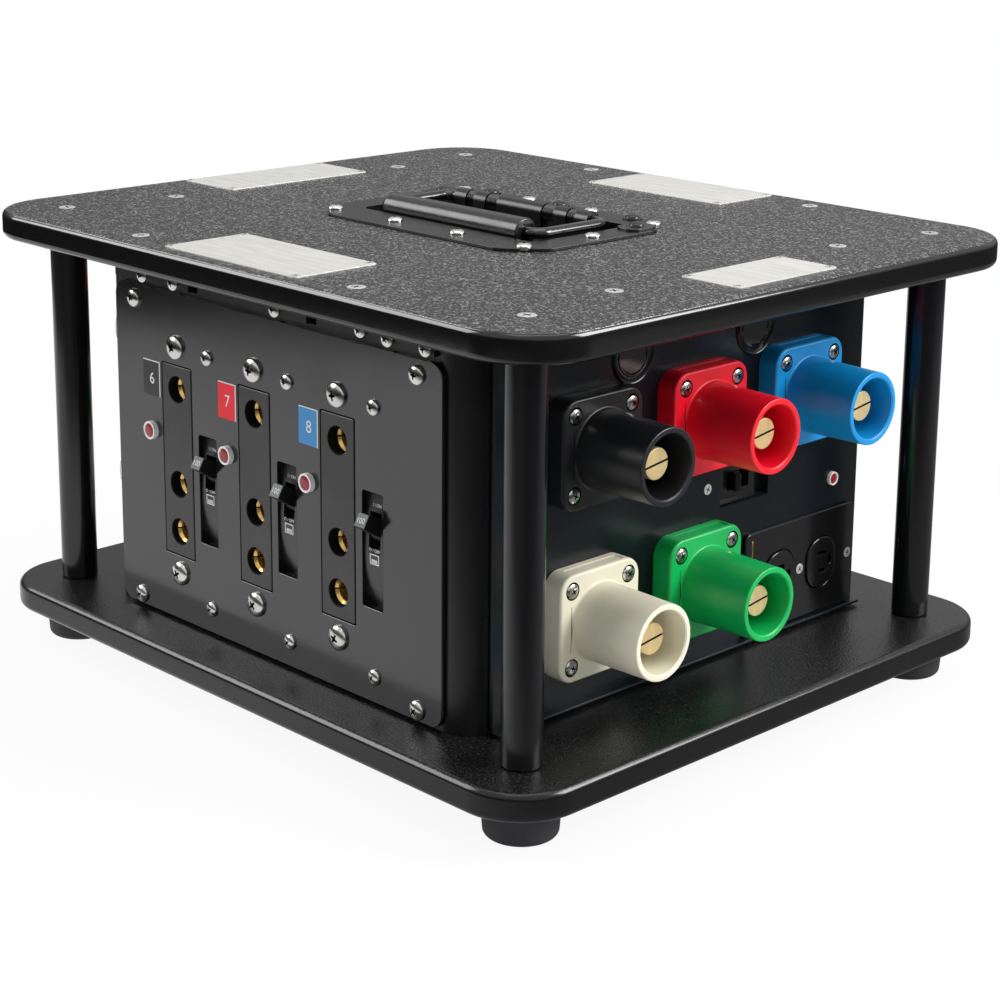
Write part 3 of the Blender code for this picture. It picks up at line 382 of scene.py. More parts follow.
# A shaded copy of the board for the lower deck: its darker colour and fainter specks are painted shade under the
# upper deck.
SHADED_DECK = PebbledBoard("board_pebbled_base", (0.0040, 0.0040, 0.0044), 0.20, specular=0.45,
                           pebble_depth=0.0003, top_roughness=0.30, speck=(0.030, 0.030, 0.031))
ENAMEL = Finish("enamel_panel", (0.0052, 0.0052, 0.0055), 0.15, drift=0.3, drift_scale=9.0, specular=0.90,
                haze=0.04, haze_scale=7.0, grain=0.000003, grain_scale=480.0)
BLUE_ENAMEL = Finish("enamel_inlet_panel", (0.0050, 0.0075, 0.0100), 0.28, drift=0.2, drift_scale=11.0,
                     specular=0.3, haze=0.07, haze_scale=8.0, grain=0.00002, grain_scale=520.0)
POWDER = Finish("enamel_enclosure", (0.0055, 0.0055, 0.0062), 0.30, drift=0.15, grain=0.00004,
                grain_scale=900.0)
POST_PAINT = Finish("gloss_post", (0.0050, 0.0050, 0.0060), 0.20, drift=0.2, drift_scale=16.0, haze=0.06,
                    grain=0.00002, grain_scale=300.0, stretch=(1.0, 1.0, 0.25), coat=0.2)
WIRE_PAINT = Finish("gloss_wire", (0.005, 0.005, 0.006), 0.14, haze=0.04, coat=0.4)
RUBBER = Finish("rubber_matt", (0.030, 0.030, 0.033), 0.70, grain=0.00006, grain_scale=1700.0)
MOULDED = Finish("moulded_black", (0.0075, 0.0075, 0.0082), 0.30, grain=0.00003, grain_scale=2200.0)
OUTLET = Finish("moulded_outlet", (0.0090, 0.0090, 0.0100), 0.32, drift=0.25, drift_scale=60.0,
                specular=0.7, grain=0.00005, grain_scale=1600.0)
NOSE = Finish("moulded_nose", (0.0085, 0.0085, 0.0092), 0.32, specular=0.75, grain=0.00003, grain_scale=1800.0)
HANDLE_END = Finish("moulded_handle_end", (0.042, 0.044, 0.048), 0.34, drift=0.06)
# Painted shade: near-black laid on the walls of holes, slots, pockets, counterbores, grooves and screw crosses,
# where shade falls.
PAINTED_SHADE = Finish("dark_recess", (0.0035, 0.0035, 0.0035), 0.60, drift=0.2, specular=0.2)
GRIP = Finish("grip_tube", (0.009, 0.009, 0.0105), 0.27, haze=0.06, haze_scale=60.0,
              stretch=(0.3, 1.0, 1.0), grain=0.00004, grain_scale=700.0, coat=0.15)
DUPLEX = Finish("gloss_duplex", (0.0050, 0.0050, 0.0055), 0.13, haze=0.04, drift=0.15,
                grain=0.000015, grain_scale=350.0)
FLAT_STEEL = Finish("flat_steel", (0.56, 0.55, 0.53), 0.40, metallic=0.45, drift=0.08)
STAINLESS = Finish("stainless", (0.66, 0.65, 0.62), 0.17, metallic=1.0, drift=0.06, haze=0.05,
                   haze_scale=180.0, grain=0.000008, grain_scale=2600.0)
BRASS = Brushed("brass_turned", (0.84, 0.65, 0.32), 0.38, metallic=0.50, drift=0.16, haze=0.07,
                stretch=(1.0, 1.0, 0.35), grain=0.00001)
LINER = Finish("brass_liner", (0.86, 0.56, 0.18), 0.24, metallic=0.85, drift=0.12)
PLATE = Brushed("plate_brushed", (0.69, 0.68, 0.63), 0.42, metallic=0.35, drift=0.16, haze=0.06,
                stretch=(0.10, 1.0, 1.0), grain=0.000012)
PRINT = Finish("print_white", (0.74, 0.74, 0.73), 0.5, drift=0.05)
HANDLE_PRINT = Finish("print_grey", (0.52, 0.53, 0.54), 0.5, drift=0.05)
TAG_BLACK = Finish("tag_black", (0.014, 0.014, 0.016), 0.28)
TAG_RED = Finish("tag_red", (0.780, 0.020, 0.035), 0.38, drift=0.05, specular=0.3)
TAG_BLUE = Finish("tag_blue", (0.060, 0.255, 0.530), 0.38, drift=0.05, specular=0.3)
BEZEL = Finish("lamp_bezel", (0.86, 0.85, 0.82), 0.34, drift=0.04)
LENS = Finish("lamp_lens", (0.290, 0.012, 0.018), 0.24, drift=0.15, coat=0.2, coat_roughness=0.08)
# A thin gold line on the duplex plate: a painted reflection.
PAINTED_REFLECTION = Finish("gold_strip", (0.80, 0.50, 0.10), 0.35, metallic=0.6)
CLEAR = Clear("clear_cover", (0.94, 0.95, 0.94), 0.08, drift=0.02, haze=0.03, grain=0.000006)


class Pole(Enum):
    """A cam connector's colour: its name in the model and its moulded finish."""

    BLACK = Finish("moulded_cam_black", (0.0120, 0.0125, 0.0140), 0.36, grain=0.00003)
    RED = Finish("moulded_cam_red", (0.760, 0.0040, 0.0180), 0.36, drift=0.07, grain=0.00003)
    BLUE = Finish("moulded_cam_blue", (0.0030, 0.2450, 0.5800), 0.36, drift=0.07, grain=0.00003)
    WHITE = Finish("moulded_cam_white", (0.760, 0.725, 0.560), 0.42, drift=0.06, grain=0.00003)
    GREEN = Finish("moulded_cam_green", (0.0030, 0.4000, 0.0850), 0.36, drift=0.07, grain=0.00003)

    @property
    def word(self) -> str:
        """The colour's name, as the model's nodes have it."""
        return self.name.lower()


# ---------------------------------------------------------------- mesh helpers


def bevelled(mesh: BMesh, edges: Iterable[BMEdge], offset: float, steps: int) -> BMesh:
    """Rounds some edges of a mesh.

    Args:
        mesh: The mesh, which is changed.
        edges: The edges to round.
        offset: The width of the rounding.
        steps: How many faces it has.

    Returns:
        The same mesh.
    """
    bmesh.ops.bevel(mesh, geom=list(edges), offset=offset, offset_type="OFFSET", segments=steps,
                    profile=0.5, affect="EDGES", clamp_overlap=True, material=-1)
    return mesh


def round_rims(mesh: BMesh, axis: Axis, ends: Ends, offset: float, steps: int) -> BMesh:
    """Rounds the edges that lie in a mesh's lowest or highest plane across an axis.

    Args:
        mesh: The mesh, which is changed.
        axis: The axis that the planes are square to.
        ends: Which of the two planes.
        offset: The width of the rounding.
        steps: How many faces it has.

    Returns:
        The same mesh.
    """
    at = [v.co[axis.value] for v in mesh.verts]
    planes = {Ends.LOW: (min(at),), Ends.HIGH: (max(at),), Ends.BOTH: (min(at), max(at))}[ends]
    rims = [e for e in mesh.edges
            if any(all(abs(v.co[axis.value] - plane) < 1e-7 for v in e.verts) for plane in planes)]
    return bevelled(mesh, rims, offset, steps)


def slab(low: Sequence[float], high: Sequence[float], axis: Axis = Axis.Z, corner: float = 0.0,
         rim: float = 0.0, ends: Ends = Ends.BOTH, corner_steps: int = 8, rim_steps: int = 3) -> BMesh:
    """A block with the corners along one axis rounded, and then the rims at its ends.

    Args:
        low: Its lowest corner.
        high: Its highest corner.
        axis: The axis that the rounded corners run along.
        corner: Their radius.
        rim: The rounding of the rims at the ends of that axis.
        ends: The ends that have it.
        corner_steps: Faces in each rounded corner.
        rim_steps: Faces across each rounded rim.

    Returns:
        The block's mesh.
    """
    mesh = bmesh.new()
    bmesh.ops.create_cube(mesh, size=1.0)
    size = Vector(high) - Vector(low)
    bmesh.ops.scale(mesh, vec=size, verts=mesh.verts)
    bmesh.ops.translate(mesh, vec=Vector(low) + size / 2, verts=mesh.verts)
    if corner > 0:
        along = [e for e in mesh.edges
                 if abs(e.verts[0].co[axis.value] - e.verts[1].co[axis.value]) > size[axis.value] / 2]
        bevelled(mesh, along, corner, corner_steps)
    if rim > 0:
        round_rims(mesh, axis, ends, rim, rim_steps)
    return mesh


def centred(centre: Sequence[float], size: Sequence[float], **shape: object) -> BMesh:
    """A slab by its centre and full size; what else it takes is as in slab."""
    middle, half = Vector(centre), Vector(size) / 2
    return slab(middle - half, middle + half, **shape)


def spun(profile: Sequence[Point], axis: Axis = Axis.Z, steps: int = 48) -> BMesh:
    """A round shape turned from a profile.

    Args:
        profile: Points of radius and distance along the axis; a radius of 0 closes it there.
        axis: The axis to turn about.
        steps: Faces round the shape.

    Returns:
        The shape's mesh, about the origin.
    """
    mesh = bmesh.new()
    along = Vector((0, 0, 0))
    along[axis.value] = 1.0
    across = Vector((0, 1, 0)) if axis is Axis.X else Vector((1, 0, 0))
    verts = [mesh.verts.new(across * radius + along * distance) for radius, distance in profile]
    edges = [mesh.edges.new(pair) for pair in zip(verts, verts[1:])]
    if profile[0][0] > 0:
        edges.append(mesh.edges.new((verts[-1], verts[0])))
    bmesh.ops.spin(mesh, geom=verts + edges, cent=(0, 0, 0), axis=along, dvec=(0, 0, 0),
                   angle=2 * math.pi, steps=steps, use_merge=True, use_duplicate=False)
    bmesh.ops.remove_doubles(mesh, verts=mesh.verts, dist=1e-7)
    bmesh.ops.recalc_face_normals(mesh, faces=mesh.faces)
    return mesh


def cylinder(radius: float, start: float, end: float, axis: Axis, steps: int) -> BMesh:
    """A plain round bar about an axis.

    Args:
        radius: Its radius.
        start: Where it starts along the axis.
        end: Where it ends.
        axis: The axis.
        steps: Faces round it.

    Returns:
        The bar's mesh, about the origin.
    """
    return spun([(0.0, start), (radius, start), (radius, end), (0.0, end)], axis, steps)


def extruded(outline: Sequence[Point], axis: Axis, low: float, high: float) -> BMesh:
    """A shape of one outline along an axis.

    Args:
        outline: Points in the plane of the other two axes, in the order of their names.
        axis: The axis to extrude along.
        low: Where it starts.
        high: Where it ends.

    Returns:
        The shape's mesh.
    """
    mesh = bmesh.new()
    others = [i for i in range(3) if i != axis.value]
    verts = []
    for point in outline:
        place = [low, low, low]
        place[others[0]], place[others[1]] = point
        verts.append(mesh.verts.new(place))
    grown = bmesh.ops.extrude_face_region(mesh, geom=[mesh.faces.new(verts)])
    shift = Vector((0, 0, 0))
    shift[axis.value] = high - low
    far = [part for part in grown["geom"] if isinstance(part, bmesh.types.BMVert)]
    bmesh.ops.translate(mesh, verts=far, vec=shift)
    bmesh.ops.recalc_face_normals(mesh, faces=mesh.faces)
    return mesh


def moved(mesh: BMesh, offset: Sequence[float]) -> BMesh:
    """The same mesh, moved."""
    bmesh.ops.translate(mesh, vec=Vector(offset), verts=mesh.verts)
    return mesh


def rotated(mesh: BMesh, degrees: float, axis: Axis, centre: Sequence[float] = (0, 0, 0)) -> BMesh:
    """The same mesh, turned about an axis through a centre."""
    turn = Matrix.Rotation(math.radians(degrees), 3, axis.name)
    bmesh.ops.rotate(mesh, cent=Vector(centre), matrix=turn, verts=mesh.verts)
    return mesh


def tinted(mesh: BMesh, index: int) -> BMesh:
    """The same mesh with all its faces in one of the piece's finishes."""
    for face in mesh.faces:
        face.material_index = index
    return mesh


def joined(meshes: Iterable[BMesh]) -> BMesh:
    """One mesh that holds several separate ones, which are used up."""
    whole = bmesh.new()
    scratch = bpy.data.meshes.new("scratch")
    for mesh in meshes:
        mesh.to_mesh(scratch)
        whole.from_mesh(scratch)
        mesh.free()
    bpy.data.meshes.remove(scratch)
    return whole


def repeated(mesh: BMesh, places: Iterable[Sequence[float]]) -> BMesh:
    """Copies of one mesh at several places, as one mesh; the first is used up."""
    copies = [moved(mesh.copy(), place) for place in places]
    mesh.free()
    return joined(copies)


def combined(body: BMesh, tool: BMesh, operation: str) -> BMesh:
    """A body with another shape taken away from it or added to it; both are used up.

    Args:
        body: The body.
        tool: The shape that cuts it or is added.
        operation: DIFFERENCE or UNION.

    Returns:
        The new body, in which each face keeps its finish.
    """
    holders = []
    for mesh in (body, tool):
        data = bpy.data.meshes.new("combined")
        mesh.to_mesh(data)
        mesh.free()
        for _ in range(3):
            data.materials.append(None)
        holder = bpy.data.objects.new("combined", data)
        bpy.context.scene.collection.objects.link(holder)
        holders.append(holder)
    modifier = holders[0].modifiers.new("combine", "BOOLEAN")
    modifier.operation = operation
    modifier.solver = "EXACT"
    modifier.object = holders[1]
    bpy.context.view_layer.update()
    result = bmesh.new()
    result.from_object(holders[0], bpy.context.evaluated_depsgraph_get())
    for holder in holders:
        data = holder.data
        bpy.data.objects.remove(holder)
        bpy.data.meshes.remove(data)
    bmesh.ops.remove_doubles(result, verts=result.verts, dist=1e-7)
    return result


def cut(body: BMesh, *tools: BMesh) -> BMesh:
    """A body with shapes taken away."""
    return combined(body, joined(tools), "DIFFERENCE")


def fused(body: BMesh, *tools: BMesh) -> BMesh:
    """A body with shapes added to it."""
    return combined(body, joined(tools), "UNION")


def lettering(text: str, height: float, depth: float = 0.00008) -> BMesh:
    """Raised plain characters, centred on the origin and facing -Y.

    Args:
        text: The characters.
        height: The height of a capital or a digit.
        depth: How far they stand up.

    Returns:
        Their mesh.
    """
    curve = bpy.data.curves.new("lettering", "FONT")
    curve.body = text
    curve.extrude = depth / 2
    curve.resolution_u = 4
    holder = bpy.data.objects.new("lettering", curve)
    bpy.context.scene.collection.objects.link(holder)
    bpy.context.view_layer.update()
    data = bpy.data.meshes.new_from_object(holder.evaluated_get(bpy.context.evaluated_depsgraph_get()))
    mesh = bmesh.new()
    mesh.from_mesh(data)
    bpy.data.objects.remove(holder)
    bpy.data.curves.remove(curve)
    bpy.data.meshes.remove(data)
    low = Vector([min(v.co[i] for v in mesh.verts) for i in range(3)])
    high = Vector([max(v.co[i] for v in mesh.verts) for i in range(3)])
    moved(mesh, -(low + high) / 2)
    scale = height / (high.y - low.y)
    bmesh.ops.scale(mesh, vec=(scale, scale, 1.0), verts=mesh.verts)
    bmesh.ops.remove_doubles(mesh, verts=mesh.verts, dist=1e-7)
    return rotated(mesh, 90, Axis.X)


def screw(kind: ScrewKind) -> BMesh:
    """A Phillips screw head that faces -Y from the origin, with painted shade in its cross as finish 1.

    Args:
        kind: Its size.

    Returns:
        The head's mesh.
    """
    radius, height, reach = kind.value
    flat = height < 0.001
    profile: list[Point] = [(0.0, 0.0012), (radius * 0.92, 0.0012), (radius * 0.985, 0.0)]
    if flat:
        profile += [(radius, -height * 0.5), (radius - height * 0.6, -height)]
    else:
        lip = height * 0.22
        profile.append((radius, -lip))
        for i in range(1, 6):
            angle = math.radians(90 * i / 6)
            profile.append((radius * math.cos(angle), -lip - (height - lip) * math.sin(angle)))
    profile.append((0.0, -height))
    head = spun(profile, Axis.Y, 32)
    arm, width = radius * reach, radius * 0.19
    floor = 0.0009 if flat else -height * 0.15
    # The cross's faces take finish 1, painted shade in the recess.
    for angle in (0, 90):
        wing = slab((-arm, -2 * height, -width / 2), (arm, floor, width / 2))
        for vert in wing.verts:
            if vert.co.y > -height:
                vert.co.x *= 0.45
        head = cut(head, rotated(tinted(wing, 1), angle, Axis.Y))
    middle = slab((-width, -2 * height, -width), (width, floor, width))
    return cut(head, rotated(tinted(middle, 1), 45, Axis.Y))


def turned_heads(kind: ScrewKind, places: Sequence[Sequence[float]], facing: float) -> BMesh:
    """Equal screw heads with their crosses at unlike angles.

    Args:
        kind: Their size.
        places: Where each one's seat is.
        facing: How far they are turned about X from facing -Y, in degrees.

    Returns:
        The heads as one mesh.
    """
    head = screw(kind)
    heads = []
    for number, place in enumerate(places):
        turned = rotated(head.copy(), (23 + 37 * number) % 90, Axis.Y)
        heads.append(moved(rotated(turned, facing, Axis.X), place))
    head.free()
    return joined(heads)


# ---------------------------------------------------------------- placing


def add_piece(name: str, mesh: BMesh, finishes: Sequence[Finish], body: str = "root",
              stands_for: Sequence[str] = (), side: Side = Side.FRONT,
              edge: float = 0.0, sharp: float = 32.0) -> bpy.types.Object:
    """Makes a piece of the visible model and ties it to the body that it moves with.

    Args:
        name: The piece's name.
        mesh: Its mesh, drawn as if its side faced -Y; it is used up.
        finishes: Its finishes, in the order of its faces' indexes.
        body: The body that it rides on.
        stands_for: The model's nodes that it replaces.
        side: The side that it is turned to.
        edge: The width of a fine rounding on all its sharp edges.
        sharp: The angle in degrees from which an edge is sharp.

    Returns:
        The piece's object.
    """
    bmesh.ops.rotate(mesh, cent=(0, 0, 0), matrix=side.matrix(), verts=mesh.verts)
    bmesh.ops.recalc_face_normals(mesh, faces=mesh.faces)
    data = bpy.data.meshes.new(name)
    mesh.to_mesh(data)
    mesh.free()
    for finish in finishes:
        data.materials.append(finish.material())
    piece = bpy.data.objects.new(name, data)
    bpy.context.scene.collection.objects.link(piece)
    data.shade_smooth()
    data.set_sharp_from_angle(angle=math.radians(sharp))
    if edge > 0:
        rounding = piece.modifiers.new("edges", "BEVEL")
        rounding.width = edge
        rounding.segments = 2
        rounding.limit_method = "ANGLE"
        rounding.angle_limit = math.radians(sharp)
    weighted = piece.modifiers.new("flat_faces", "WEIGHTED_NORMAL")
    weighted.keep_sharp = True
    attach(piece, body)
    if stands_for:
        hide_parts(*stands_for)
    LOG.info("%s: %d faces, rides on %s", name, len(data.polygons), body)
    return piece


def dress(node: str, finish: Finish) -> None:
    """Gives a node that is kept as it is a better material."""
    for place in frame["nodes"][node].material_slots:
        place.material = finish.material()
    LOG.info("%s: kept, in %s", node, finish.name)


def local_box(node: str, side: Side) -> tuple[Vector, Vector]:
    """A node's lowest and highest corners, seen from its side.

    Args:
        node: The node's name.
        side: The side that it is on.

    Returns:
        The two corners, turned back to the front.
    """
    back = side.matrix().inverted()
    ends = [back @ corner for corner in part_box(node)]
    return Vector(map(min, *ends)), Vector(map(max, *ends))


def pivot_of(joint: str, side: Side) -> Vector:
    """Where a joint's axis passes, seen from its side."""
    found = next(j for j in frame["joints"] if j["name"] == joint)
    return side.matrix().inverted() @ Vector(found["pos_m"])


def deck_face() -> float:
    """The height of the base deck's top face, from which rises are counted."""
    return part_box("base_deck")[1].z


def metal_of(kind: ScrewKind) -> Finish:
    """Polished steel for a domed head, and duller steel for a flat one."""
    return STAINLESS if kind.value[1] > 0.001 else FLAT_STEEL


def screws(name: str, kind: ScrewKind, places: Sequence[Sequence[float]], side: Side) -> None:
    """Adds a set of equal screws to a side.

    Args:
        name: The set's name.
        kind: The screws' size.
        places: Where each one's seat is, seen from the side.
        side: The side.
    """
    add_piece(name, turned_heads(kind, places, 0), (metal_of(kind), PAINTED_SHADE), side=side, sharp=40)


def top_screws(name: str, kind: ScrewKind, places: Sequence[Sequence[float]]) -> None:
    """Adds a set of equal screws that face up.

    Args:
        name: The set's name.
        kind: The screws' size.
        places: Where each one's seat is.
    """
    add_piece(name, turned_heads(kind, places, -90), (metal_of(kind), PAINTED_SHADE), sharp=40)


# ---------------------------------------------------------------- decks, posts and feet


@dataclass
class Decks:
    """The two boards, the plate under the upper one, and what is screwed to its top."""

    base_corner: float = 0.044
    top_corner: float = 0.050
    edge: float = 0.0048
    opening_low: Point = (-0.0885, -0.0460)
    opening_high: Point = (0.0885, 0.0505)
    opening_corner: float = 0.0105
    screw_places: tuple[Point, ...] = ((0.230, 0.191), (0.1092, 0.2136), (0.2175, 0.1066))
    plates: tuple[tuple[Point, Point], ...] = (
        ((-0.001, -0.1922), (0.1335, 0.066)), ((-0.2415, 0.005), (0.058, 0.131)),
        ((-0.002, 0.1970), (0.1310, 0.062)), ((0.2395, 0.001), (0.047, 0.095)))
    plate_thickness: float = 0.0007
    plate_corner: float = 0.0025
    plate_rim: float = 0.0002
    plate_inset: float = 0.0036

    def build(self) -> None:
        """Builds the boards, the plates and the screws."""
        self.board("base_deck", self.base_corner, SHADED_DECK)
        self.board("top_deck", self.top_corner, DECK)
        dress("deck_under_plate", POWDER)
        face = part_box("top_deck")[1].z
        places = [(sx * x, sy * y, face) for x, y in self.screw_places for sx in (-1, 1) for sy in (-1, 1)]
        top_screws("deck_screws", ScrewKind.DECK, places)
        for number, (centre, size) in enumerate(self.plates):
            self.plate(number, centre, size, face)

    def board(self, node: str, corner: float, finish: Finish) -> None:
        """One board, which stands for its node; the upper one has the handle's opening.

        Args:
            node: The node it stands for.
            corner: The radius of its corners.
            finish: Its finish.
        """
        low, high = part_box(node)
        board = slab(low, high, Axis.Z, corner, self.edge, Ends.BOTH, 16, 6)
        if node == "top_deck":
            hole_low, hole_high = (*self.opening_low, low.z - PAST), (*self.opening_high, high.z + PAST)
            board = cut(board, slab(hole_low, hole_high, Axis.Z, self.opening_corner))
        add_piece(f"{node}_board", board, (finish,), stands_for=(node,))

    def plate(self, number: int, centre: Point, size: Point, face: float) -> None:
        """One blank brushed plate with a small screw in each corner.

        Args:
            number: Its place in the row of plates.
            centre: Its middle.
            size: Its size.
            face: The height of the deck's face.
        """
        middle = (*centre, face + self.plate_thickness / 2)
        mesh = centred(middle, (*size, self.plate_thickness), axis=Axis.Z, corner=self.plate_corner,
                       rim=self.plate_rim, ends=Ends.HIGH, rim_steps=2)
        add_piece(f"blank_plate_{number}", mesh, (PLATE,))
        dx, dy = size[0] / 2 - self.plate_inset, size[1] / 2 - self.plate_inset
        top = face + self.plate_thickness
        places = [(centre[0] + sx * dx, centre[1] + sy * dy, top) for sx in (-1, 1) for sy in (-1, 1)]
        top_screws(f"plate_screws_{number}", ScrewKind.PLATE, places)


@dataclass
class PostsAndFeet:
    """The four tubular posts and the rubber foot under each."""

    post_radius: float = 0.0127
    post_edge: float = 0.0012
    foot_top: float = 0.0248
    foot_base: float = 0.0228
    foot_edge: float = 0.0040
    recess_radius: float = 0.0080
    recess_depth: float = 0.0090
    recess_ease: float = 0.0006
    top_edge: float = 0.0010

    def build(self) -> None:
        """Builds all four of each."""
        for end in ("front", "back"):
            for hand in ("left", "right"):
                self.post(f"post_{end}_{hand}")
                self.foot(f"foot_{end}_{hand}")

    def post(self, node: str) -> None:
        """One post, with its ends eased."""
        low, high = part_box(node)
        middle = (low + high) / 2
        radius, edge = self.post_radius, self.post_edge
        profile = [(0.0, low.z), (radius - edge, low.z), (radius - edge * 0.3, low.z + edge * 0.3),
                   (radius, low.z + edge), (radius, high.z - edge), (radius - edge * 0.3, high.z - edge * 0.3),
                   (radius - edge, high.z), (0.0, high.z)]
        mesh = moved(spun(profile, Axis.Z, 64), (middle.x, middle.y, 0))
        add_piece(f"{node}_tube", mesh, (POST_PAINT,), stands_for=(node,))

    def foot(self, node: str) -> None:
        """One foot: a tapered bumper with a rounded lower edge and a recess for its screw."""
        low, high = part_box(node)
        middle = (low + high) / 2
        slope = (self.foot_top - self.foot_base) / (high.z - low.z)
        profile = [(0.0, self.recess_depth), (self.recess_radius, self.recess_depth),
                   (self.recess_radius, self.recess_ease), (self.recess_radius + self.recess_ease, 0.0)]
        for i in range(9):
            angle = math.radians(90) * i / 8
            height = self.foot_edge * (1 - math.cos(angle))
            profile.append((self.foot_base - self.foot_edge * (1 - math.sin(angle)) + slope * height, height))
        profile += [(self.foot_top - slope * self.top_edge, high.z - self.top_edge),
                    (self.foot_top - self.top_edge, high.z), (0.0, high.z)]
        mesh = moved(spun(profile, Axis.Z, 64), (middle.x, middle.y, 0))
        add_piece(f"{node}_bumper", mesh, (RUBBER,), stands_for=(node,))


@dataclass
class Enclosure:
    """The folded steel box between the decks, with its tabs and notches above the panels."""

    half_y: float = 0.1931
    corner: float = 0.024
    sheet: float = 0.003
    window_low: float = 0.0120
    window_high: float = 0.0300
    window_corner: float = 0.003
    front_window: float = 0.128
    side_window: float = 0.164
    through: float = 0.3
    tab_height: float = 0.0125
    tab_spans: tuple[Point, ...] = ((-0.166, -0.083), (-0.012, 0.040), (0.103, 0.158))
    notch_width: float = 0.0065
    notch_height: float = 0.0070
    tab_screws: tuple[float, ...] = (-0.134, -0.099, 0.009, 0.117, 0.151)
    sheet_screws: tuple[float, ...] = (0.089,)
    screw_rise: float = 0.2380

    def build(self) -> None:
        """Builds the box and the screws above both outlet panels."""
        low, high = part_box("enclosure")
        box = slab((low.x, -self.half_y, low.z), (high.x, self.half_y, high.z), Axis.Z, self.corner,
                   corner_steps=14)
        inner = slab((low.x + self.sheet, self.sheet - self.half_y, low.z - PAST),
                     (high.x - self.sheet, self.half_y - self.sheet, high.z + PAST), Axis.Z,
                     self.corner - self.sheet, corner_steps=14)
        box = cut(box, inner)
        bottom, top = low.z + self.window_low, high.z - self.window_high
        for x, y, axis in ((self.front_window, self.through, Axis.Y), (self.through, self.side_window, Axis.X)):
            box = cut(box, slab((-x, -y, bottom), (x, y, top), axis, self.window_corner))
        tabs, notches = self.tabs(high.z, low.y)
        box = cut(fused(box, *tabs), *notches)
        add_piece("enclosure_box", box, (POWDER,), stands_for=("enclosure",), edge=0.0003)
        for side in (Side.FRONT, Side.BACK):
            self.screws(side, low.y)

    def tabs(self, top: float, face: float) -> tuple[list[BMesh], list[BMesh]]:
        """The tabs on the front and back, and the cutters for the notches beside them.

        Args:
            top: The height of the box.
            face: How far forward the tabs reach.

        Returns:
            The tabs and the cutters.
        """
        tabs, notches = [], []
        for side in (Side.FRONT, Side.BACK):
            for start, end in self.tab_spans:
                tab = slab((start, face, top - self.tab_height), (end, self.sheet / 2 - self.half_y, top - SEAM))
                tabs.append(rotated(tab, side.value, Axis.Z))
            for _, end in self.tab_spans[:2]:
                base = top - self.tab_height
                notch = slab((end + SEAM, -self.half_y - self.sheet, base),
                             (end + self.notch_width, 2 * self.sheet - self.half_y, base + self.notch_height))
                notches.append(rotated(notch, side.value, Axis.Z))
        return tabs, notches

    def screws(self, side: Side, tab_face: float) -> None:
        """The pan-head screws in the band above a panel."""
        height = deck_face() + self.screw_rise
        places = [(x, tab_face, height) for x in self.tab_screws]
        places += [(x, -self.half_y, height) for x in self.sheet_screws]
        screws(f"tab_screws_{side.name.lower()}", ScrewKind.PAN, places, side)


# ---------------------------------------------------------------- outlets and breakers


@dataclass
class StageOutlet:
    """A stage-pin outlet: a moulded strip with three lined contact holes."""

    circuit: int
    side: Side
    width: float = 0.032
    bottom_rise: float = 0.0486
    top_rise: float = 0.1816
    ear_thickness: float = 0.006
    contacts: tuple[Point, ...] = ((0.0655, 0.0044), (0.0990, 0.0073), (0.1652, 0.0073))
    mouth_radius: float = 0.0090
    sleeve_radius: float = 0.0085
    contact_radius: float = 0.0066
    contact_depth: float = 0.030
    funnel: float = 0.0018
    rim: float = 0.0007

    def build(self) -> None:
        """Builds the strip, its liners, and painted shade on its holes' walls and at their bottoms."""
        node = f"stage_outlet_{self.circuit}"
        low, high = local_box(node, self.side)
        base, middle = deck_face(), (low.x + high.x) / 2
        bottom, top = base + self.bottom_rise, base + self.top_rise
        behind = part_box("outlet_panel_front")[1].y + SEAM
        strip = slab((low.x, low.y, bottom), (high.x, high.y, top), Axis.Y, 0.0012, self.rim, Ends.LOW, 3, 3)
        ears = slab((low.x, behind, low.z), (high.x, behind + self.ear_thickness, high.z))
        strip = fused(strip, ears)
        mouths, sleeves = [], []
        for rise, setback in self.contacts:
            place = (middle, low.y, base + rise)
            # The walls that the mouths cut take finish 1, painted shade.
            mouths.append(moved(tinted(self.mouth(setback), 1), place))
            sleeves.append(moved(self.sleeve(setback), place))
        strip = cut(strip, *mouths)
        add_piece(f"{node}_strip", strip, (OUTLET, PAINTED_SHADE), stands_for=(node,),
                  side=self.side)
        add_piece(f"{node}_sleeves", joined(sleeves), (LINER, PAINTED_SHADE), side=self.side)

    def mouth(self, setback: float) -> BMesh:
        """The cutter for one contact's hole: a wide mouth and the seat of its sleeve.

        Args:
            setback: How far the sleeve lies behind the strip's face.

        Returns:
            The cutter about the middle of the hole's mouth.
        """
        wide, seat, ease = self.mouth_radius, self.sleeve_radius + 0.00005, 0.0005
        return spun([(0.0, -0.004), (wide + ease, -0.004), (wide + ease, 0.0), (wide, ease), (wide, setback),
                     (seat, setback), (seat, self.contact_depth), (0.0, self.contact_depth)], Axis.Y, 48)

    def sleeve(self, setback: float) -> BMesh:
        """A split brass sleeve with a funnelled mouth, and a disc of painted shade at its bottom.

        Args:
            setback: How far it lies behind the strip's face.

        Returns:
            The sleeve about the middle of the hole's mouth.
        """
        outer, inner = self.sleeve_radius, self.contact_radius
        end = self.contact_depth - 0.0005
        ring = spun([(inner, setback + self.funnel), (inner + 0.0003, setback + self.funnel * 0.75),
                     (outer - 0.0002, setback), (outer, setback + 0.0002), (outer, end), (inner, end)], Axis.Y, 48)
        slit = slab((-0.01, setback - 0.002, -0.0005), (0.01, end * 0.8, 0.0005))
        # A disc of painted shade where the bottom of the hole lies in shade.
        plug = tinted(cylinder(inner - 0.0001, end - 0.008, end, Axis.Y, 48), 1)
        return joined([cut(ring, slit), plug])


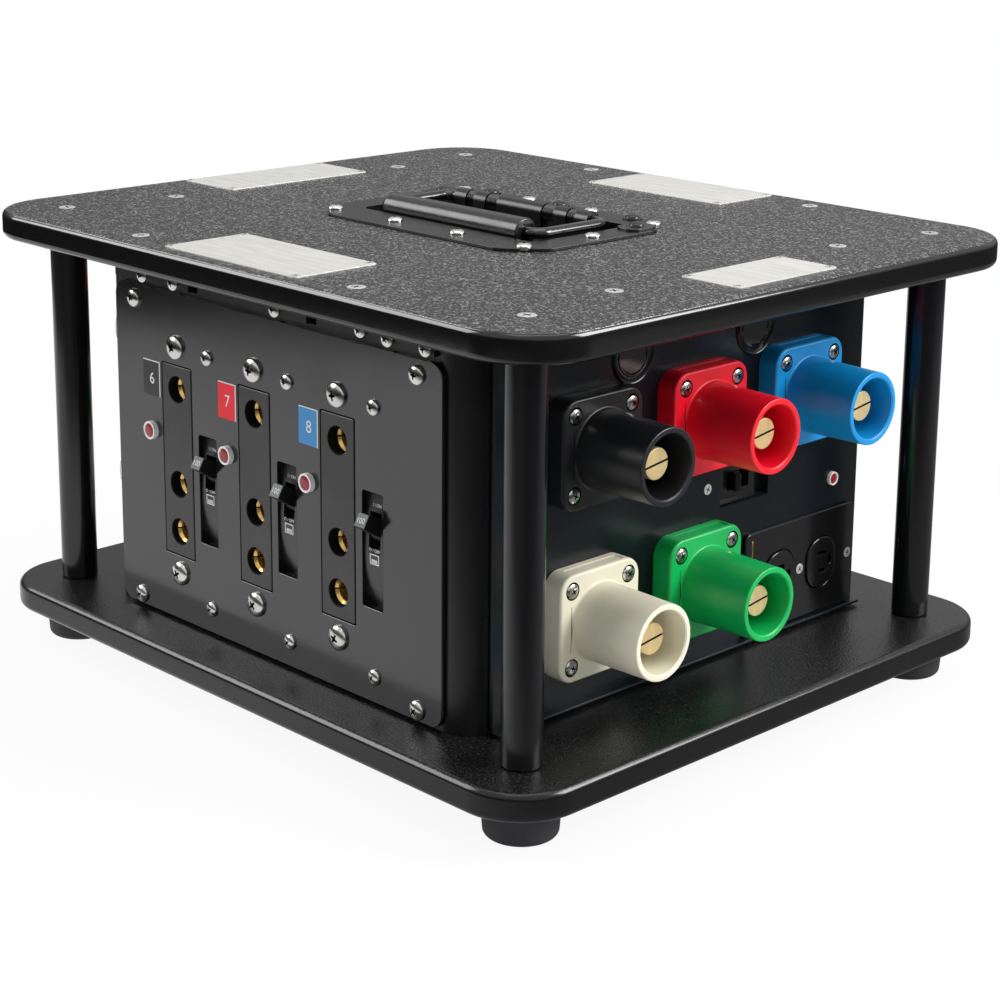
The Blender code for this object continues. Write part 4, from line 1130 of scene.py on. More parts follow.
@dataclass(frozen=True)
class Rocker:
    """A breaker's handle: a hub on trunnions, and a block that stands out of it towards -Y."""

    hub: float
    reach: float
    root: float
    tip: float
    width: float
    rest_angle: float
    trunnion: float = 0.0020
    trunnion_length: float = 0.0025
    running: float = 0.0003
    edge: float = 0.0006

    def outline(self) -> list[Point]:
        """The block's end and the hub's round back, as Y and the distance across."""
        spread = math.asin(min(self.root / (2 * self.hub), 0.9))
        outline = [(-self.reach, self.tip / 2), (-self.reach, -self.tip / 2)]
        for i in range(25):
            angle = math.pi + spread + (2 * math.pi - 2 * spread) * i / 24
            outline.append((self.hub * math.cos(angle), self.hub * math.sin(angle)))
        return outline

    def shaft(self, axis: Axis, room: float = 0.0) -> BMesh:
        """The trunnions as one bar about the origin, with room all round it for their bores."""
        half = self.width / 2 + self.trunnion_length + room
        return cylinder(self.trunnion + room, -half, half, axis, 16)


@dataclass
class Breaker:
    """A circuit breaker: the crowned nose of its body, and its rocking handle."""

    circuit: int
    side: Side
    nose_half: float = 0.0093
    nose_bottom: float = 0.0640
    nose_top: float = 0.1386
    body_bottom: float = 0.030
    body_top: float = 0.176
    ear_thickness: float = 0.003
    sunk: float = 0.0015
    top_fall: float = 0.0034
    bottom_fall: float = 0.0054
    crown: float = 0.0960
    clearance: float = 0.0004
    pocket_half: float = 0.0130
    pocket_corner: float = 0.0006
    rocker: Rocker = Rocker(hub=0.0078, reach=0.0217, root=0.0108, tip=0.0094, width=0.0102, rest_angle=29.0)
    words: tuple[tuple[str, float, float], ...] = (("I / ON", 0.1300, 0.0005), ("O / OFF", 0.1012, 0.0))
    word_height: float = 0.0021
    frame_rise: float = 0.0954
    window_rise: float = 0.0942

    def build(self) -> None:
        """Builds the body, the printing on its nose, and the handle on its own body."""
        low, high = local_box(f"breaker_{self.circuit}", self.side)
        self.x = (low.x + high.x) / 2
        self.base = deck_face()
        panel_low, panel_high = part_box("outlet_panel_front")
        self.front = panel_low.y + self.sunk
        self.pivot = pivot_of(f"breaker_{self.circuit}_switch", self.side)
        self.body(low, high, panel_high.y + SEAM)
        self.printing()
        self.handle()

    def fall(self, rise: float) -> float:
        """How far the nose's face lies behind its crown at a height."""
        if rise >= self.crown:
            return self.top_fall * ((rise - self.crown) / (self.nose_top - self.crown)) ** 2
        return self.bottom_fall * ((self.crown - rise) / (self.crown - self.nose_bottom)) ** 2

    def body(self, low: Vector, high: Vector, behind: float) -> None:
        """The body with its crowned nose and the handle's pocket, whose walls are painted shade.

        Args:
            low: The lowest corner of the body's node.
            high: Its highest corner.
            behind: Where the panel's back is.
        """
        case = slab((low.x, behind, self.base + self.body_bottom), (high.x, high.y, self.base + self.body_top))
        ears = slab((low.x, behind, low.z), (high.x, behind + self.ear_thickness, high.z))
        nose = slab((self.x - self.nose_half, self.front, self.base + self.nose_bottom),
                    (self.x + self.nose_half, behind + self.ear_thickness / 2, self.base + self.nose_top))
        body = fused(fused(case, ears), nose)
        steps, room = 20, self.nose_half + self.clearance
        rises = [self.nose_bottom + (self.nose_top - self.nose_bottom) * i / steps for i in range(steps + 1)]
        ends = (rises[0] - self.clearance, rises[-1] + self.clearance)
        clear = self.front - 2 * PAST
        outline = [(clear, self.base + ends[0]), (self.front + self.bottom_fall, self.base + ends[0])]
        outline += [(self.front + self.fall(rise), self.base + rise) for rise in rises]
        outline += [(self.front + self.top_fall, self.base + ends[1]), (clear, self.base + ends[1])]
        body = cut(body, extruded(outline, Axis.X, self.x - room, self.x + room))
        rocker = self.rocker
        room, half = rocker.width / 2 + rocker.running, self.pocket_half
        pocket = slab((self.x - room, self.front - PAST, self.pivot.z - half),
                      (self.x + room, self.pivot.y + rocker.hub + rocker.running, self.pivot.z + half), Axis.Y,
                      self.pocket_corner, corner_steps=2)
        bores = moved(rocker.shaft(Axis.X, rocker.running), self.pivot)
        # The pocket's walls take finish 1, painted shade.
        body = cut(cut(body, tinted(pocket, 1)), bores)
        add_piece(f"breaker_{self.circuit}_case", body, (NOSE, PAINTED_SHADE),
                  stands_for=(f"breaker_{self.circuit}",), side=self.side, edge=0.0002)
        self.slope()

    def slope(self) -> None:
        """The small sloped face in the pocket below the handle."""
        half, bottom = self.rocker.width / 2 - 0.0006, self.pivot.z - self.pocket_half
        outline = [(self.front + 0.0022, bottom), (self.pivot.y + self.rocker.hub, bottom + 0.0004),
                   (self.front + 0.0070, bottom + 0.0040)]
        wedge = extruded(outline, Axis.X, self.x - half, self.x + half)
        add_piece(f"breaker_{self.circuit}_slope", wedge, (MOULDED,), side=self.side)

    def on_nose(self, mesh: BMesh, rise: float, across: float = 0.0) -> BMesh:
        """A flat mark laid on the nose's crowned face at a height.

        Args:
            mesh: The mark about the origin, facing -Y.
            rise: The height it goes to.
            across: How far it is from the middle of the nose.

        Returns:
            The same mesh in its place.
        """
        slope = (self.fall(rise + 0.001) - self.fall(rise - 0.001)) / 0.002
        rotated(mesh, -math.degrees(math.atan(slope)), Axis.X)
        return moved(mesh, (self.x + across, self.front + self.fall(rise) - 0.00004, self.base + rise))

    def printing(self) -> None:
        """The plain marks on the nose, and the small white square under them."""
        marks = [self.on_nose(lettering(word, self.word_height), rise, across)
                 for word, rise, across in self.words]
        frame_mark = cut(centred((0, 0, 0), (0.0084, 0.00008, 0.0066)), centred((0, 0, 0), (0.0072, 0.01, 0.0054)))
        marks.append(self.on_nose(frame_mark, self.frame_rise))
        add_piece(f"breaker_{self.circuit}_marks", joined(marks), (PRINT,), side=self.side)
        window = self.on_nose(centred((0, 0, 0), (0.0056, 0.00012, 0.0024)), self.window_rise)
        add_piece(f"breaker_{self.circuit}_window", window, (HANDLE_PRINT,), side=self.side)

    def handle(self) -> None:
        """The handle: a hub on trunnions and a square block with a pale end."""
        body, rocker = f"breaker_handle_{self.circuit}", self.rocker
        block = extruded(rocker.outline(), Axis.X, -rocker.width / 2, rocker.width / 2)
        tips = [e for e in block.edges if all(v.co.y < -rocker.hub for v in e.verts)
                or (abs(e.verts[0].co.x - e.verts[1].co.x) < 1e-6 and min(v.co.y for v in e.verts) < -rocker.hub)]
        bevelled(block, tips, rocker.edge, 3)
        for face in block.faces:
            if face.normal.y < -0.9:
                face.material_index = 1
        block = fused(block, rocker.shaft(Axis.X))
        number = moved(lettering("100", 0.0036, 0.0001), (0, -rocker.reach - 0.00003, 0))
        for name, mesh, finishes, nodes in ((f"{body}_rocker", block, (MOULDED, HANDLE_END), (body,)),
                                            (f"{body}_number", number, (PRINT,), ())):
            mesh = moved(rotated(mesh, -rocker.rest_angle, Axis.X), self.pivot)
            add_piece(name, mesh, finishes, body, nodes, self.side)


@dataclass
class OutletPanel:
    """An outlet panel with its three outlets, breakers, lamps and tags, and its screws."""

    side: Side
    circuits: tuple[int, int, int]
    columns: tuple[float, ...] = (-0.0974, -0.0138, 0.0698)
    breaker_offset: float = 0.0330
    corner: float = 0.010
    outlet_clearance: float = 0.0008
    nose_clearance: float = 0.0004
    truss_rises: tuple[float, float] = (0.1944, 0.0358)
    corner_places: tuple[float, tuple[float, float]] = (0.1439, (0.2211, 0.0091))
    small_offset: float = 0.0345
    small_rises: tuple[float, float] = (0.1932, 0.0190)
    tag_span: Point = (-0.0371, -0.0184)
    tag_rises: Point = (0.1563, 0.1808)
    tag_edge: Point = (0.0009, 0.0007)
    digit_height: float = 0.0080
    lamp_offset: float = -0.0285
    lamp_rise: float = 0.1318
    lamp_shape: tuple[float, float, float] = (0.0063, 0.0049, 0.0036)
    outlets: list[StageOutlet] = field(default_factory=list)
    breakers: list[Breaker] = field(default_factory=list)

    def __post_init__(self) -> None:
        """Makes the outlet and the breaker of each circuit."""
        self.outlets = [StageOutlet(circuit, self.side) for circuit in self.circuits]
        self.breakers = [Breaker(circuit, self.side) for circuit in self.circuits]

    def build(self) -> None:
        """Builds the panel and all that is on it."""
        self.word = self.side.name.lower()
        self.low, self.high = local_box(f"outlet_panel_{self.word}", self.side)
        self.base = deck_face()
        self.panel()
        for device in (*self.outlets, *self.breakers):
            device.build()
        for column, circuit, colour in zip(self.columns, self.circuits, (TAG_BLACK, TAG_RED, TAG_BLUE)):
            self.tag(column, circuit, colour)
            self.lamp(column, circuit)
        self.screws()

    def panel(self) -> None:
        """The sheet with rounded corners and an opening for each outlet and breaker."""
        sheet = slab(self.low, self.high, Axis.Y, self.corner, 0.0006, Ends.LOW, 10, 2)
        outlet, breaker = self.outlets[0], self.breakers[0]
        openings = []
        for column in self.columns:
            for x, half, low, high, room in ((column, outlet.width / 2, outlet.bottom_rise, outlet.top_rise,
                                              self.outlet_clearance),
                                             (column + self.breaker_offset, breaker.nose_half, breaker.nose_bottom,
                                              breaker.nose_top, self.nose_clearance)):
                openings.append(slab((x - half - room, self.low.y - PAST, self.base + low - room),
                                     (x + half + room, self.high.y + PAST, self.base + high + room), Axis.Y,
                                     0.0014, corner_steps=3))
        sheet = cut(sheet, *openings)
        add_piece(f"outlet_panel_{self.word}_sheet", sheet, (ENAMEL,),
                  stands_for=(f"outlet_panel_{self.word}",), side=self.side, edge=0.00025)

    def tag(self, column: float, circuit: int, colour: Finish) -> None:
        """The number tag beside an outlet, with a pale top and right edge.

        Args:
            column: The middle of the outlet.
            circuit: The number on it.
            colour: Its finish.
        """
        x0, x1 = column + self.tag_span[0], column + self.tag_span[1]
        z0, z1 = self.base + self.tag_rises[0], self.base + self.tag_rises[1]
        face = self.low.y
        rim = slab((x0, face - 0.0005, z0), (x1, face, z1))
        plate = slab((x0, face - 0.0006, z0), (x1 - self.tag_edge[0], face - 0.0001, z1 - self.tag_edge[1]))
        add_piece(f"tag_{circuit}_rim", rim, (PRINT,), side=self.side)
        add_piece(f"tag_{circuit}_face", plate, (colour,), side=self.side)
        digit = moved(lettering(str(circuit), self.digit_height),
                      ((x0 + x1) / 2 + 0.0006, face - 0.00062, (z0 + z1) / 2))
        add_piece(f"tag_{circuit}_number", digit, (PRINT,), side=self.side)

    def lamp(self, column: float, circuit: int) -> None:
        """The neon lamp below an outlet's tag: a white bezel round a dark red lens.

        Args:
            column: The middle of the outlet.
            circuit: The circuit it belongs to.
        """
        place = (column + self.lamp_offset, self.low.y, self.base + self.lamp_rise)
        bezel, lens = neon_lamp(*self.lamp_shape)
        add_piece(f"lamp_{circuit}_bezel", moved(bezel, place), (BEZEL,), side=self.side)
        add_piece(f"lamp_{circuit}_lens", moved(lens, place), (LENS,), side=self.side)

    def screws(self) -> None:
        """All the screws in the panel's face."""
        face, base = self.low.y, self.base
        truss = [(x, face, base + rise) for x in self.columns for rise in self.truss_rises]
        screws(f"truss_screws_{self.word}", ScrewKind.TRUSS, truss, self.side)
        x, rises = self.corner_places
        corners = [(sx * x, face, base + rise) for sx in (-1, 1) for rise in rises]
        screws(f"corner_screws_{self.word}", ScrewKind.CORNER, corners, self.side)
        small = [(c + self.small_offset, face, base + rise) for c in self.columns for rise in self.small_rises]
        screws(f"breaker_screws_{self.word}", ScrewKind.PAN, small, self.side)


def neon_lamp(outer: float, inner: float, height: float) -> tuple[BMesh, BMesh]:
    """A round lamp that faces -Y from the origin.

    Args:
        outer: The radius of its bezel.
        inner: The radius of its lens.
        height: How far it stands out.

    Returns:
        The bezel and the lens.
    """
    edge = 0.0003
    bezel = spun([(inner, 0.0), (outer, 0.0), (outer, -height + edge), (outer - edge * 0.3, -height + edge * 0.3),
                  (outer - edge, -height), (inner + 0.0003, -height), (inner, -height + 0.0003)], Axis.Y, 40)
    dome = [(0.0, 0.0), (inner - 0.00005, 0.0), (inner - 0.00005, -height + 0.0010)]
    for i in range(1, 6):
        angle = math.radians(90 * i / 6)
        dome.append(((inner - 0.0001) * math.cos(angle), -height + 0.0010 - 0.0008 * math.sin(angle)))
    dome.append((0.0, -height + 0.0002))
    return bezel, spun(dome, Axis.Y, 40)


# ---------------------------------------------------------------- cam connectors


@dataclass
class CamConnector:
    """What all cam connectors share: the square flange, the tapered sleeve and the rear boss."""

    pole: Pole
    side: Side
    word: str = "inlet"
    flange_corner: float = 0.012
    flange_thickness: float = 0.015
    flange_edge: float = 0.0020
    screw_half: float = 0.0248
    screw_radius: float = 0.0058
    screw_depth: float = 0.0030
    screw_lift: float = 0.0018
    root_radius: float = 0.0252
    rim_radius: float = 0.0243
    sleeve_length: float = 0.0530
    rim_edge: float = 0.0009
    fillet: float = 0.0016
    boss_radius: float = 0.0220
    boss_depth: float = 0.022
    strip_half: float = 0.023
    strip_shares: Point = (0.86, 0.30)
    strip_rises: Point = (0.0346, 0.040)
    parting: tuple[float, float, float] = (-0.0256, 0.0150, 0.0004)

    def centre(self) -> Vector:
        """The middle of the flange's back, seen from its side."""
        low, high = local_box(f"cam_{self.word}_{self.pole.word}", self.side)
        x = (low.x + high.x) / 2
        half = (high.x - low.x) / 2
        return Vector((x, high.y - self.boss_depth, low.z + half))

    def housing(self) -> BMesh:
        """The moulded housing without its bore, about the middle of its flange's back."""
        half = 0.035
        flange = slab((-half, -self.flange_thickness, -half), (half, 0.0, half), Axis.Y, self.flange_corner,
                      self.flange_edge, Ends.LOW, 8, 4)
        face, rim = -self.flange_thickness, -self.flange_thickness - self.sleeve_length
        profile: list[Point] = [(0.0, rim), (self.rim_radius - self.rim_edge, rim)]
        for i in range(1, 4):
            angle = math.radians(30 * i)
            profile.append((self.rim_radius - self.rim_edge * (1 - math.sin(angle)),
                            rim + self.rim_edge * (1 - math.cos(angle))))
        profile.append((self.root_radius, face - self.fillet))
        for i in range(1, 5):
            angle = math.radians(22.5 * i)
            profile.append((self.root_radius + self.fillet * (1 - math.cos(angle)),
                            face - self.fillet * (1 - math.sin(angle))))
        profile += [(self.root_radius + self.fillet, face / 2), (self.boss_radius, face / 2),
                    (self.boss_radius, self.boss_depth), (0.0, self.boss_depth)]
        return fused(flange, spun(profile, Axis.Y, 72))

    def counterbores(self) -> list[BMesh]:
        """Cutters for the four screws, for the shallow strip on the flange's top side and for a parting line; the
        screws' counterbores and the parting line's groove are painted shade.
        """
        face = -self.flange_thickness
        tools = []
        for x in (-self.screw_half, self.screw_half):
            for z in (-self.screw_half, self.screw_half):
                hole = cylinder(self.screw_radius, -0.004, self.screw_depth, Axis.Y, 32)
                # The counterbores' walls and floors take finish 1, painted shade.
                tools.append(moved(tinted(hole, 1), (x, face, z)))
        (near, far), (bottom, top) = self.strip_shares, self.strip_rises
        tools.append(slab((-self.strip_half, face * near, bottom), (self.strip_half, face * far, top), Axis.Z,
                          0.0015, corner_steps=3))
        x, half, depth = self.parting
        # The parting line's groove takes finish 1, painted shade.
        tools.append(tinted(slab((x - 0.0002, face - 0.001, -half), (x + 0.0002, face + depth, half)), 1))
        return tools

    def screws(self, centre: Vector) -> None:
        """The four screws in the flange's corners."""
        face = centre.y - self.flange_thickness + self.screw_depth - self.screw_lift
        places = [(centre.x + x, face, centre.z + z) for x in (-self.screw_half, self.screw_half)
                  for z in (-self.screw_half, self.screw_half)]
        screws(f"cam_{self.word}_{self.pole.word}_screws", ScrewKind.CAM, places, self.side)


@dataclass
class CamInlet(CamConnector):
    """A male inlet: its sleeve stands round a slotted brass pin."""

    bore: float = 0.0202
    floor: float = 0.006
    pin_radius: float = 0.0100
    pin_recess: float = 0.0095
    pin_edge: float = 0.0007
    shoulder: float = 0.0125
    shoulder_length: float = 0.005
    stud_radius: float = 0.0060
    stud_length: float = 0.020
    slot_width: float = 0.0014
    slot_depth: float = 0.004

    def build(self) -> None:
        """Builds the housing, the pin and the screws."""
        centre = self.centre()
        rim = -self.flange_thickness - self.sleeve_length
        hole = self.pin_radius + SEAM
        profile = [(0.0, rim - 0.005), (self.bore + 0.0008, rim - 0.005), (self.bore + 0.0008, rim),
                   (self.bore, rim + 0.0008), (self.bore, -self.floor), (hole, -self.floor),
                   (hole, self.boss_depth + 0.005), (0.0, self.boss_depth + 0.005)]
        housing = cut(self.housing(), spun(profile, Axis.Y, 72), *self.counterbores())
        node = f"cam_inlet_{self.pole.word}"
        add_piece(f"{node}_housing", moved(housing, centre), (self.pole.value, PAINTED_SHADE),
                  stands_for=(node,), side=self.side)
        self.pin(centre, rim)
        self.screws(centre)

    def pin(self, centre: Vector, rim: float) -> None:
        """The brass pin with a slot across its end, painted shade inside the slot, and its stud."""
        tip, seat, edge = rim + self.pin_recess, self.boss_depth + SEAM, self.pin_edge
        profile = [(0.0, tip), (self.pin_radius - edge, tip), (self.pin_radius - 0.3 * edge, tip + 0.3 * edge),
                   (self.pin_radius, tip + edge), (self.pin_radius, seat), (self.shoulder, seat),
                   (self.shoulder, seat + self.shoulder_length), (self.stud_radius, seat + self.shoulder_length),
                   (self.stud_radius, seat + self.shoulder_length + self.stud_length),
                   (0.0, seat + self.shoulder_length + self.stud_length)]
        half = self.slot_width / 2
        slot = slab((-0.03, tip - 0.01, -half), (0.03, tip + self.slot_depth, half))
        # The slot's faces take finish 1, painted shade.
        pin = cut(spun(profile, Axis.Y, 56), rotated(tinted(slot, 1), -8, Axis.Y))
        node = f"cam_pin_{self.pole.word}"
        add_piece(f"{node}_turned", moved(pin, centre), (BRASS, PAINTED_SHADE), stands_for=(node,),
                  side=self.side)


@dataclass
class CamOutlet(CamConnector):
    """A female outlet with hinge ears on its nose, and the clear flip cover that turns on them."""

    word: str = "outlet"
    socket_radius: float = 0.0106
    socket_depth: float = 0.046
    hinge_height: float = 0.0312
    hinge_backset: float = 0.0042
    pin_radius: float = 0.0016
    ring_radius: float = 0.0036
    ear_radius: float = 0.0038
    ear_width: float = 0.0040
    knuckle_width: float = 0.0120
    running: float = 0.0003
    cover_radius: float = 0.0330
    cover_thickness: float = 0.0026
    cover_rim: float = 0.0024
    rim_rise: float = 0.0016

    def build(self) -> None:
        """Builds the housing, its brass socket, the screws and the cover."""
        centre = self.centre()
        rim = -self.flange_thickness - self.sleeve_length
        hinge_y = rim + self.hinge_backset
        half = self.knuckle_width / 2 + self.running
        outline = [(hinge_y + self.ear_radius * math.cos(math.pi * i / 12),
                    self.hinge_height + self.ear_radius * math.sin(math.pi * i / 12)) for i in range(13)]
        root = self.rim_radius - self.ear_radius
        outline += [(hinge_y - self.ear_radius, root), (hinge_y + 2 * self.ear_radius, root)]
        ears = extruded(outline, Axis.X, -half - self.ear_width, half + self.ear_width)
        housing = fused(self.housing(), ears)
        gap = slab((-half, rim - PAST, self.rim_radius + SEAM), (half, hinge_y + 3 * self.ear_radius, 0.07))
        bore = cylinder(self.socket_radius, rim - PAST / 2, rim + self.socket_depth, Axis.Y, 56)
        housing = cut(housing, gap, bore, *self.counterbores())
        reach = half + self.ear_width / 2
        pin = cylinder(self.pin_radius, -reach, reach, Axis.X, 20)
        housing = fused(housing, moved(pin, (0, hinge_y, self.hinge_height)))
        node = f"cam_outlet_{self.pole.word}"
        add_piece(f"{node}_housing", moved(housing, centre), (self.pole.value, PAINTED_SHADE),
                  stands_for=(node,), side=self.side)
        outer = self.socket_radius - 0.00005
        liner = spun([(outer - 0.0016, rim + 0.0046), (outer - 0.0012, rim + 0.004), (outer, rim + 0.004),
                      (outer, rim + self.socket_depth - 0.001), (outer - 0.0016, rim + self.socket_depth - 0.001)],
                     Axis.Y, 56)
        add_piece(f"{node}_socket", moved(liner, centre), (BRASS,), side=self.side)
        self.screws(centre)
        self.cover(centre + Vector((0, hinge_y, self.hinge_height)))

    def cover(self, hinge: Vector) -> None:
        """The clear cover with its raised rim and its knuckle round the pin."""
        back = -self.hinge_backset - SEAM
        front = back - self.cover_thickness
        inner, edge = self.cover_radius - self.cover_rim, 0.0006
        crest = front - self.rim_rise
        profile = [(0.0, back), (self.cover_radius - edge, back), (self.cover_radius, back - edge),
                   (self.cover_radius, crest + edge), (self.cover_radius - edge, crest), (inner + edge, crest),
                   (inner, crest + edge), (inner, front), (0.0, front)]
        disc = moved(spun(profile, Axis.Y, 72), (0, 0, -self.hinge_height))
        half, middle = self.knuckle_width / 2, back - self.cover_thickness / 2
        outline = [(self.ring_radius * math.cos(math.radians(-90 + 15 * i)),
                    self.ring_radius * math.sin(math.radians(-90 + 15 * i))) for i in range(13)]
        outline += [(middle, self.ring_radius), (middle, -self.ring_radius)]
        knuckle = extruded(outline, Axis.X, -half, half)
        bore = cylinder(self.pin_radius + self.running, -2 * half, 2 * half, Axis.X, 20)
        cover = cut(fused(disc, knuckle), bore)
        body = f"flip_cover_{self.pole.word}"
        add_piece(f"{body}_disc", moved(cover, hinge), (CLEAR,), body, (body,), self.side)


# ---------------------------------------------------------------- side panels


@dataclass
class Duplex:
    """The duplex receptacle, mounted sideways, with its glossy plate."""

    side: Side = Side.RIGHT
    x: float = 0.1122
    rise: float = 0.0407
    half_x: float = 0.0582
    half_z: float = 0.0365
    plate_thickness: float = 0.0028
    body_half_x: float = 0.044
    body_half_z: float = 0.0215
    face_spacing: float = 0.0450
    face_half_x: float = 0.0155
    face_half_z: float = 0.0178
    face_proud: float = 0.0014
    face_corner: float = 0.0135
    face_rim: float = 0.0011
    blade: tuple[float, float] = (0.0086, 0.0030)
    blade_offset: float = 0.0064
    earth: tuple[float, float] = (0.0040, 0.0062)
    earth_offset: float = 0.0092
    slot_depth: float = 0.012

    def build(self) -> None:
        """Builds the plate, the two faces, the body behind and the screws."""
        low, high = local_box("duplex_receptacle", self.side)
        z = deck_face() + self.rise
        front = low.y + self.face_proud
        back = front + self.plate_thickness
        plate = slab((self.x - self.half_x, front, z - self.half_z), (self.x + self.half_x, back, z + self.half_z),
                     Axis.Y, 0.005, 0.0012, Ends.LOW, 6, 4)
        grooves, faces, slots = [], [], []
        for hand in (-1, 1):
            x = self.x + hand * self.face_spacing / 2
            for grow, shapes, near, far in ((0.0009, grooves, front - 0.01, front + 0.0012),
                                            (0.0, faces, low.y, back - 0.0004)):
                shapes.append(slab((x - self.face_half_x - grow, near, z - self.face_half_z - grow),
                                   (x + self.face_half_x + grow, far, z + self.face_half_z + grow), Axis.Y,
                                   self.face_corner + grow, self.face_rim if shapes is faces else 0.0,
                                   Ends.LOW, 10, 4))
            slots += self.openings(x, z, front)
        plate = cut(plate, *grooves)
        device = slab((self.x - self.body_half_x, back - 0.001, z - self.body_half_z),
                      (self.x + self.body_half_x, high.y, z + self.body_half_z))
        plate = cut(fused(fused(plate, device), *faces), *slots)
        add_piece("duplex_plate", plate, (DUPLEX, PAINTED_SHADE),
                  stands_for=("duplex_receptacle",), side=self.side, edge=0.0003)
        places = [(self.x + dx, front, z) for dx in (-0.0535, 0.0, 0.0530)]
        screws("duplex_screws", ScrewKind.SMALL_FLAT, places, self.side)

    def openings(self, x: float, z: float, front: float) -> list[BMesh]:
        """Cutters for one face's two blade slots and its earth hole, whose walls are painted shade."""
        tools = []
        # The walls of the slots and the hole take finish 1, painted shade.
        for blade in (-1, 1):
            tools.append(tinted(centred((x, front, z + blade * self.blade_offset),
                                        (self.blade[0], 2 * self.slot_depth, self.blade[1])), 1))
        hole = centred((x + self.earth_offset, front, z), (self.earth[0], 2 * self.slot_depth, self.earth[1]),
                       axis=Axis.Y, corner=0.0019, corner_steps=4)
        tools.append(tinted(hole, 1))
        return tools


@dataclass
class SmallBreaker:
    """The small breaker that lies on its side behind its window, with its handle."""

    side: Side = Side.RIGHT
    x: float = 0.0540
    rise: float = 0.1150
    half_x: float = 0.0240
    half_z: float = 0.0125
    sunk: float = 0.0060
    back_step: float = 0.004
    pocket_half: float = 0.0110
    rocker: Rocker = Rocker(hub=0.0062, reach=0.0150, root=0.0056, tip=0.0044, width=0.0120, rest_angle=28.0)

    def build(self) -> None:
        """Builds the case and the handle on its own body."""
        rocker, pivot = self.rocker, pivot_of("small_breaker_switch", self.side)
        z, end = deck_face() + self.rise, local_box("small_breaker", self.side)[1].y
        panel_back = local_box("inlet_panel", self.side)[1].y
        front, behind = panel_back - INLET_SHEET + self.sunk, panel_back + SEAM
        case = slab((self.x - self.half_x - self.back_step, behind, z - self.half_z - self.back_step),
                    (self.x + self.half_x + self.back_step, front + self.back_step,
                     z + self.half_z + self.back_step))
        rear = slab((self.x - self.half_x, front, z - self.half_z), (self.x + self.half_x, end, z + self.half_z))
        case = fused(case, rear)
        well = slab((self.x - self.half_x, behind - PAST, z - self.half_z),
                    (self.x + self.half_x, front, z + self.half_z))
        room = rocker.width / 2 + rocker.running
        pocket = slab((self.x - self.pocket_half, front - PAST, z - room),
                      (self.x + self.pocket_half, pivot.y + rocker.hub + rocker.running, z + room))
        bores = moved(rocker.shaft(Axis.Z, rocker.running), pivot)
        # The pocket's walls take finish 1, painted shade.
        case = cut(cut(cut(case, well), tinted(pocket, 1)), bores)
        add_piece("small_breaker_case", case, (DUPLEX, PAINTED_SHADE),
                  stands_for=("small_breaker",), side=self.side)
        self.handle(pivot)

    def handle(self, pivot: Vector) -> None:
        """The rocking handle, which swings sideways."""
        rocker = self.rocker
        outline = [(across, along) for along, across in rocker.outline()]
        block = extruded(outline, Axis.Z, -rocker.width / 2, rocker.width / 2)
        tips = [e for e in block.edges if all(v.co.y < -rocker.hub for v in e.verts)]
        bevelled(block, tips, rocker.edge, 3)
        block = moved(rotated(fused(block, rocker.shaft(Axis.Z)), -rocker.rest_angle, Axis.Z), pivot)
        add_piece("small_breaker_rocker", block, (DUPLEX,), "small_breaker_handle",
                  ("small_breaker_handle",), self.side)


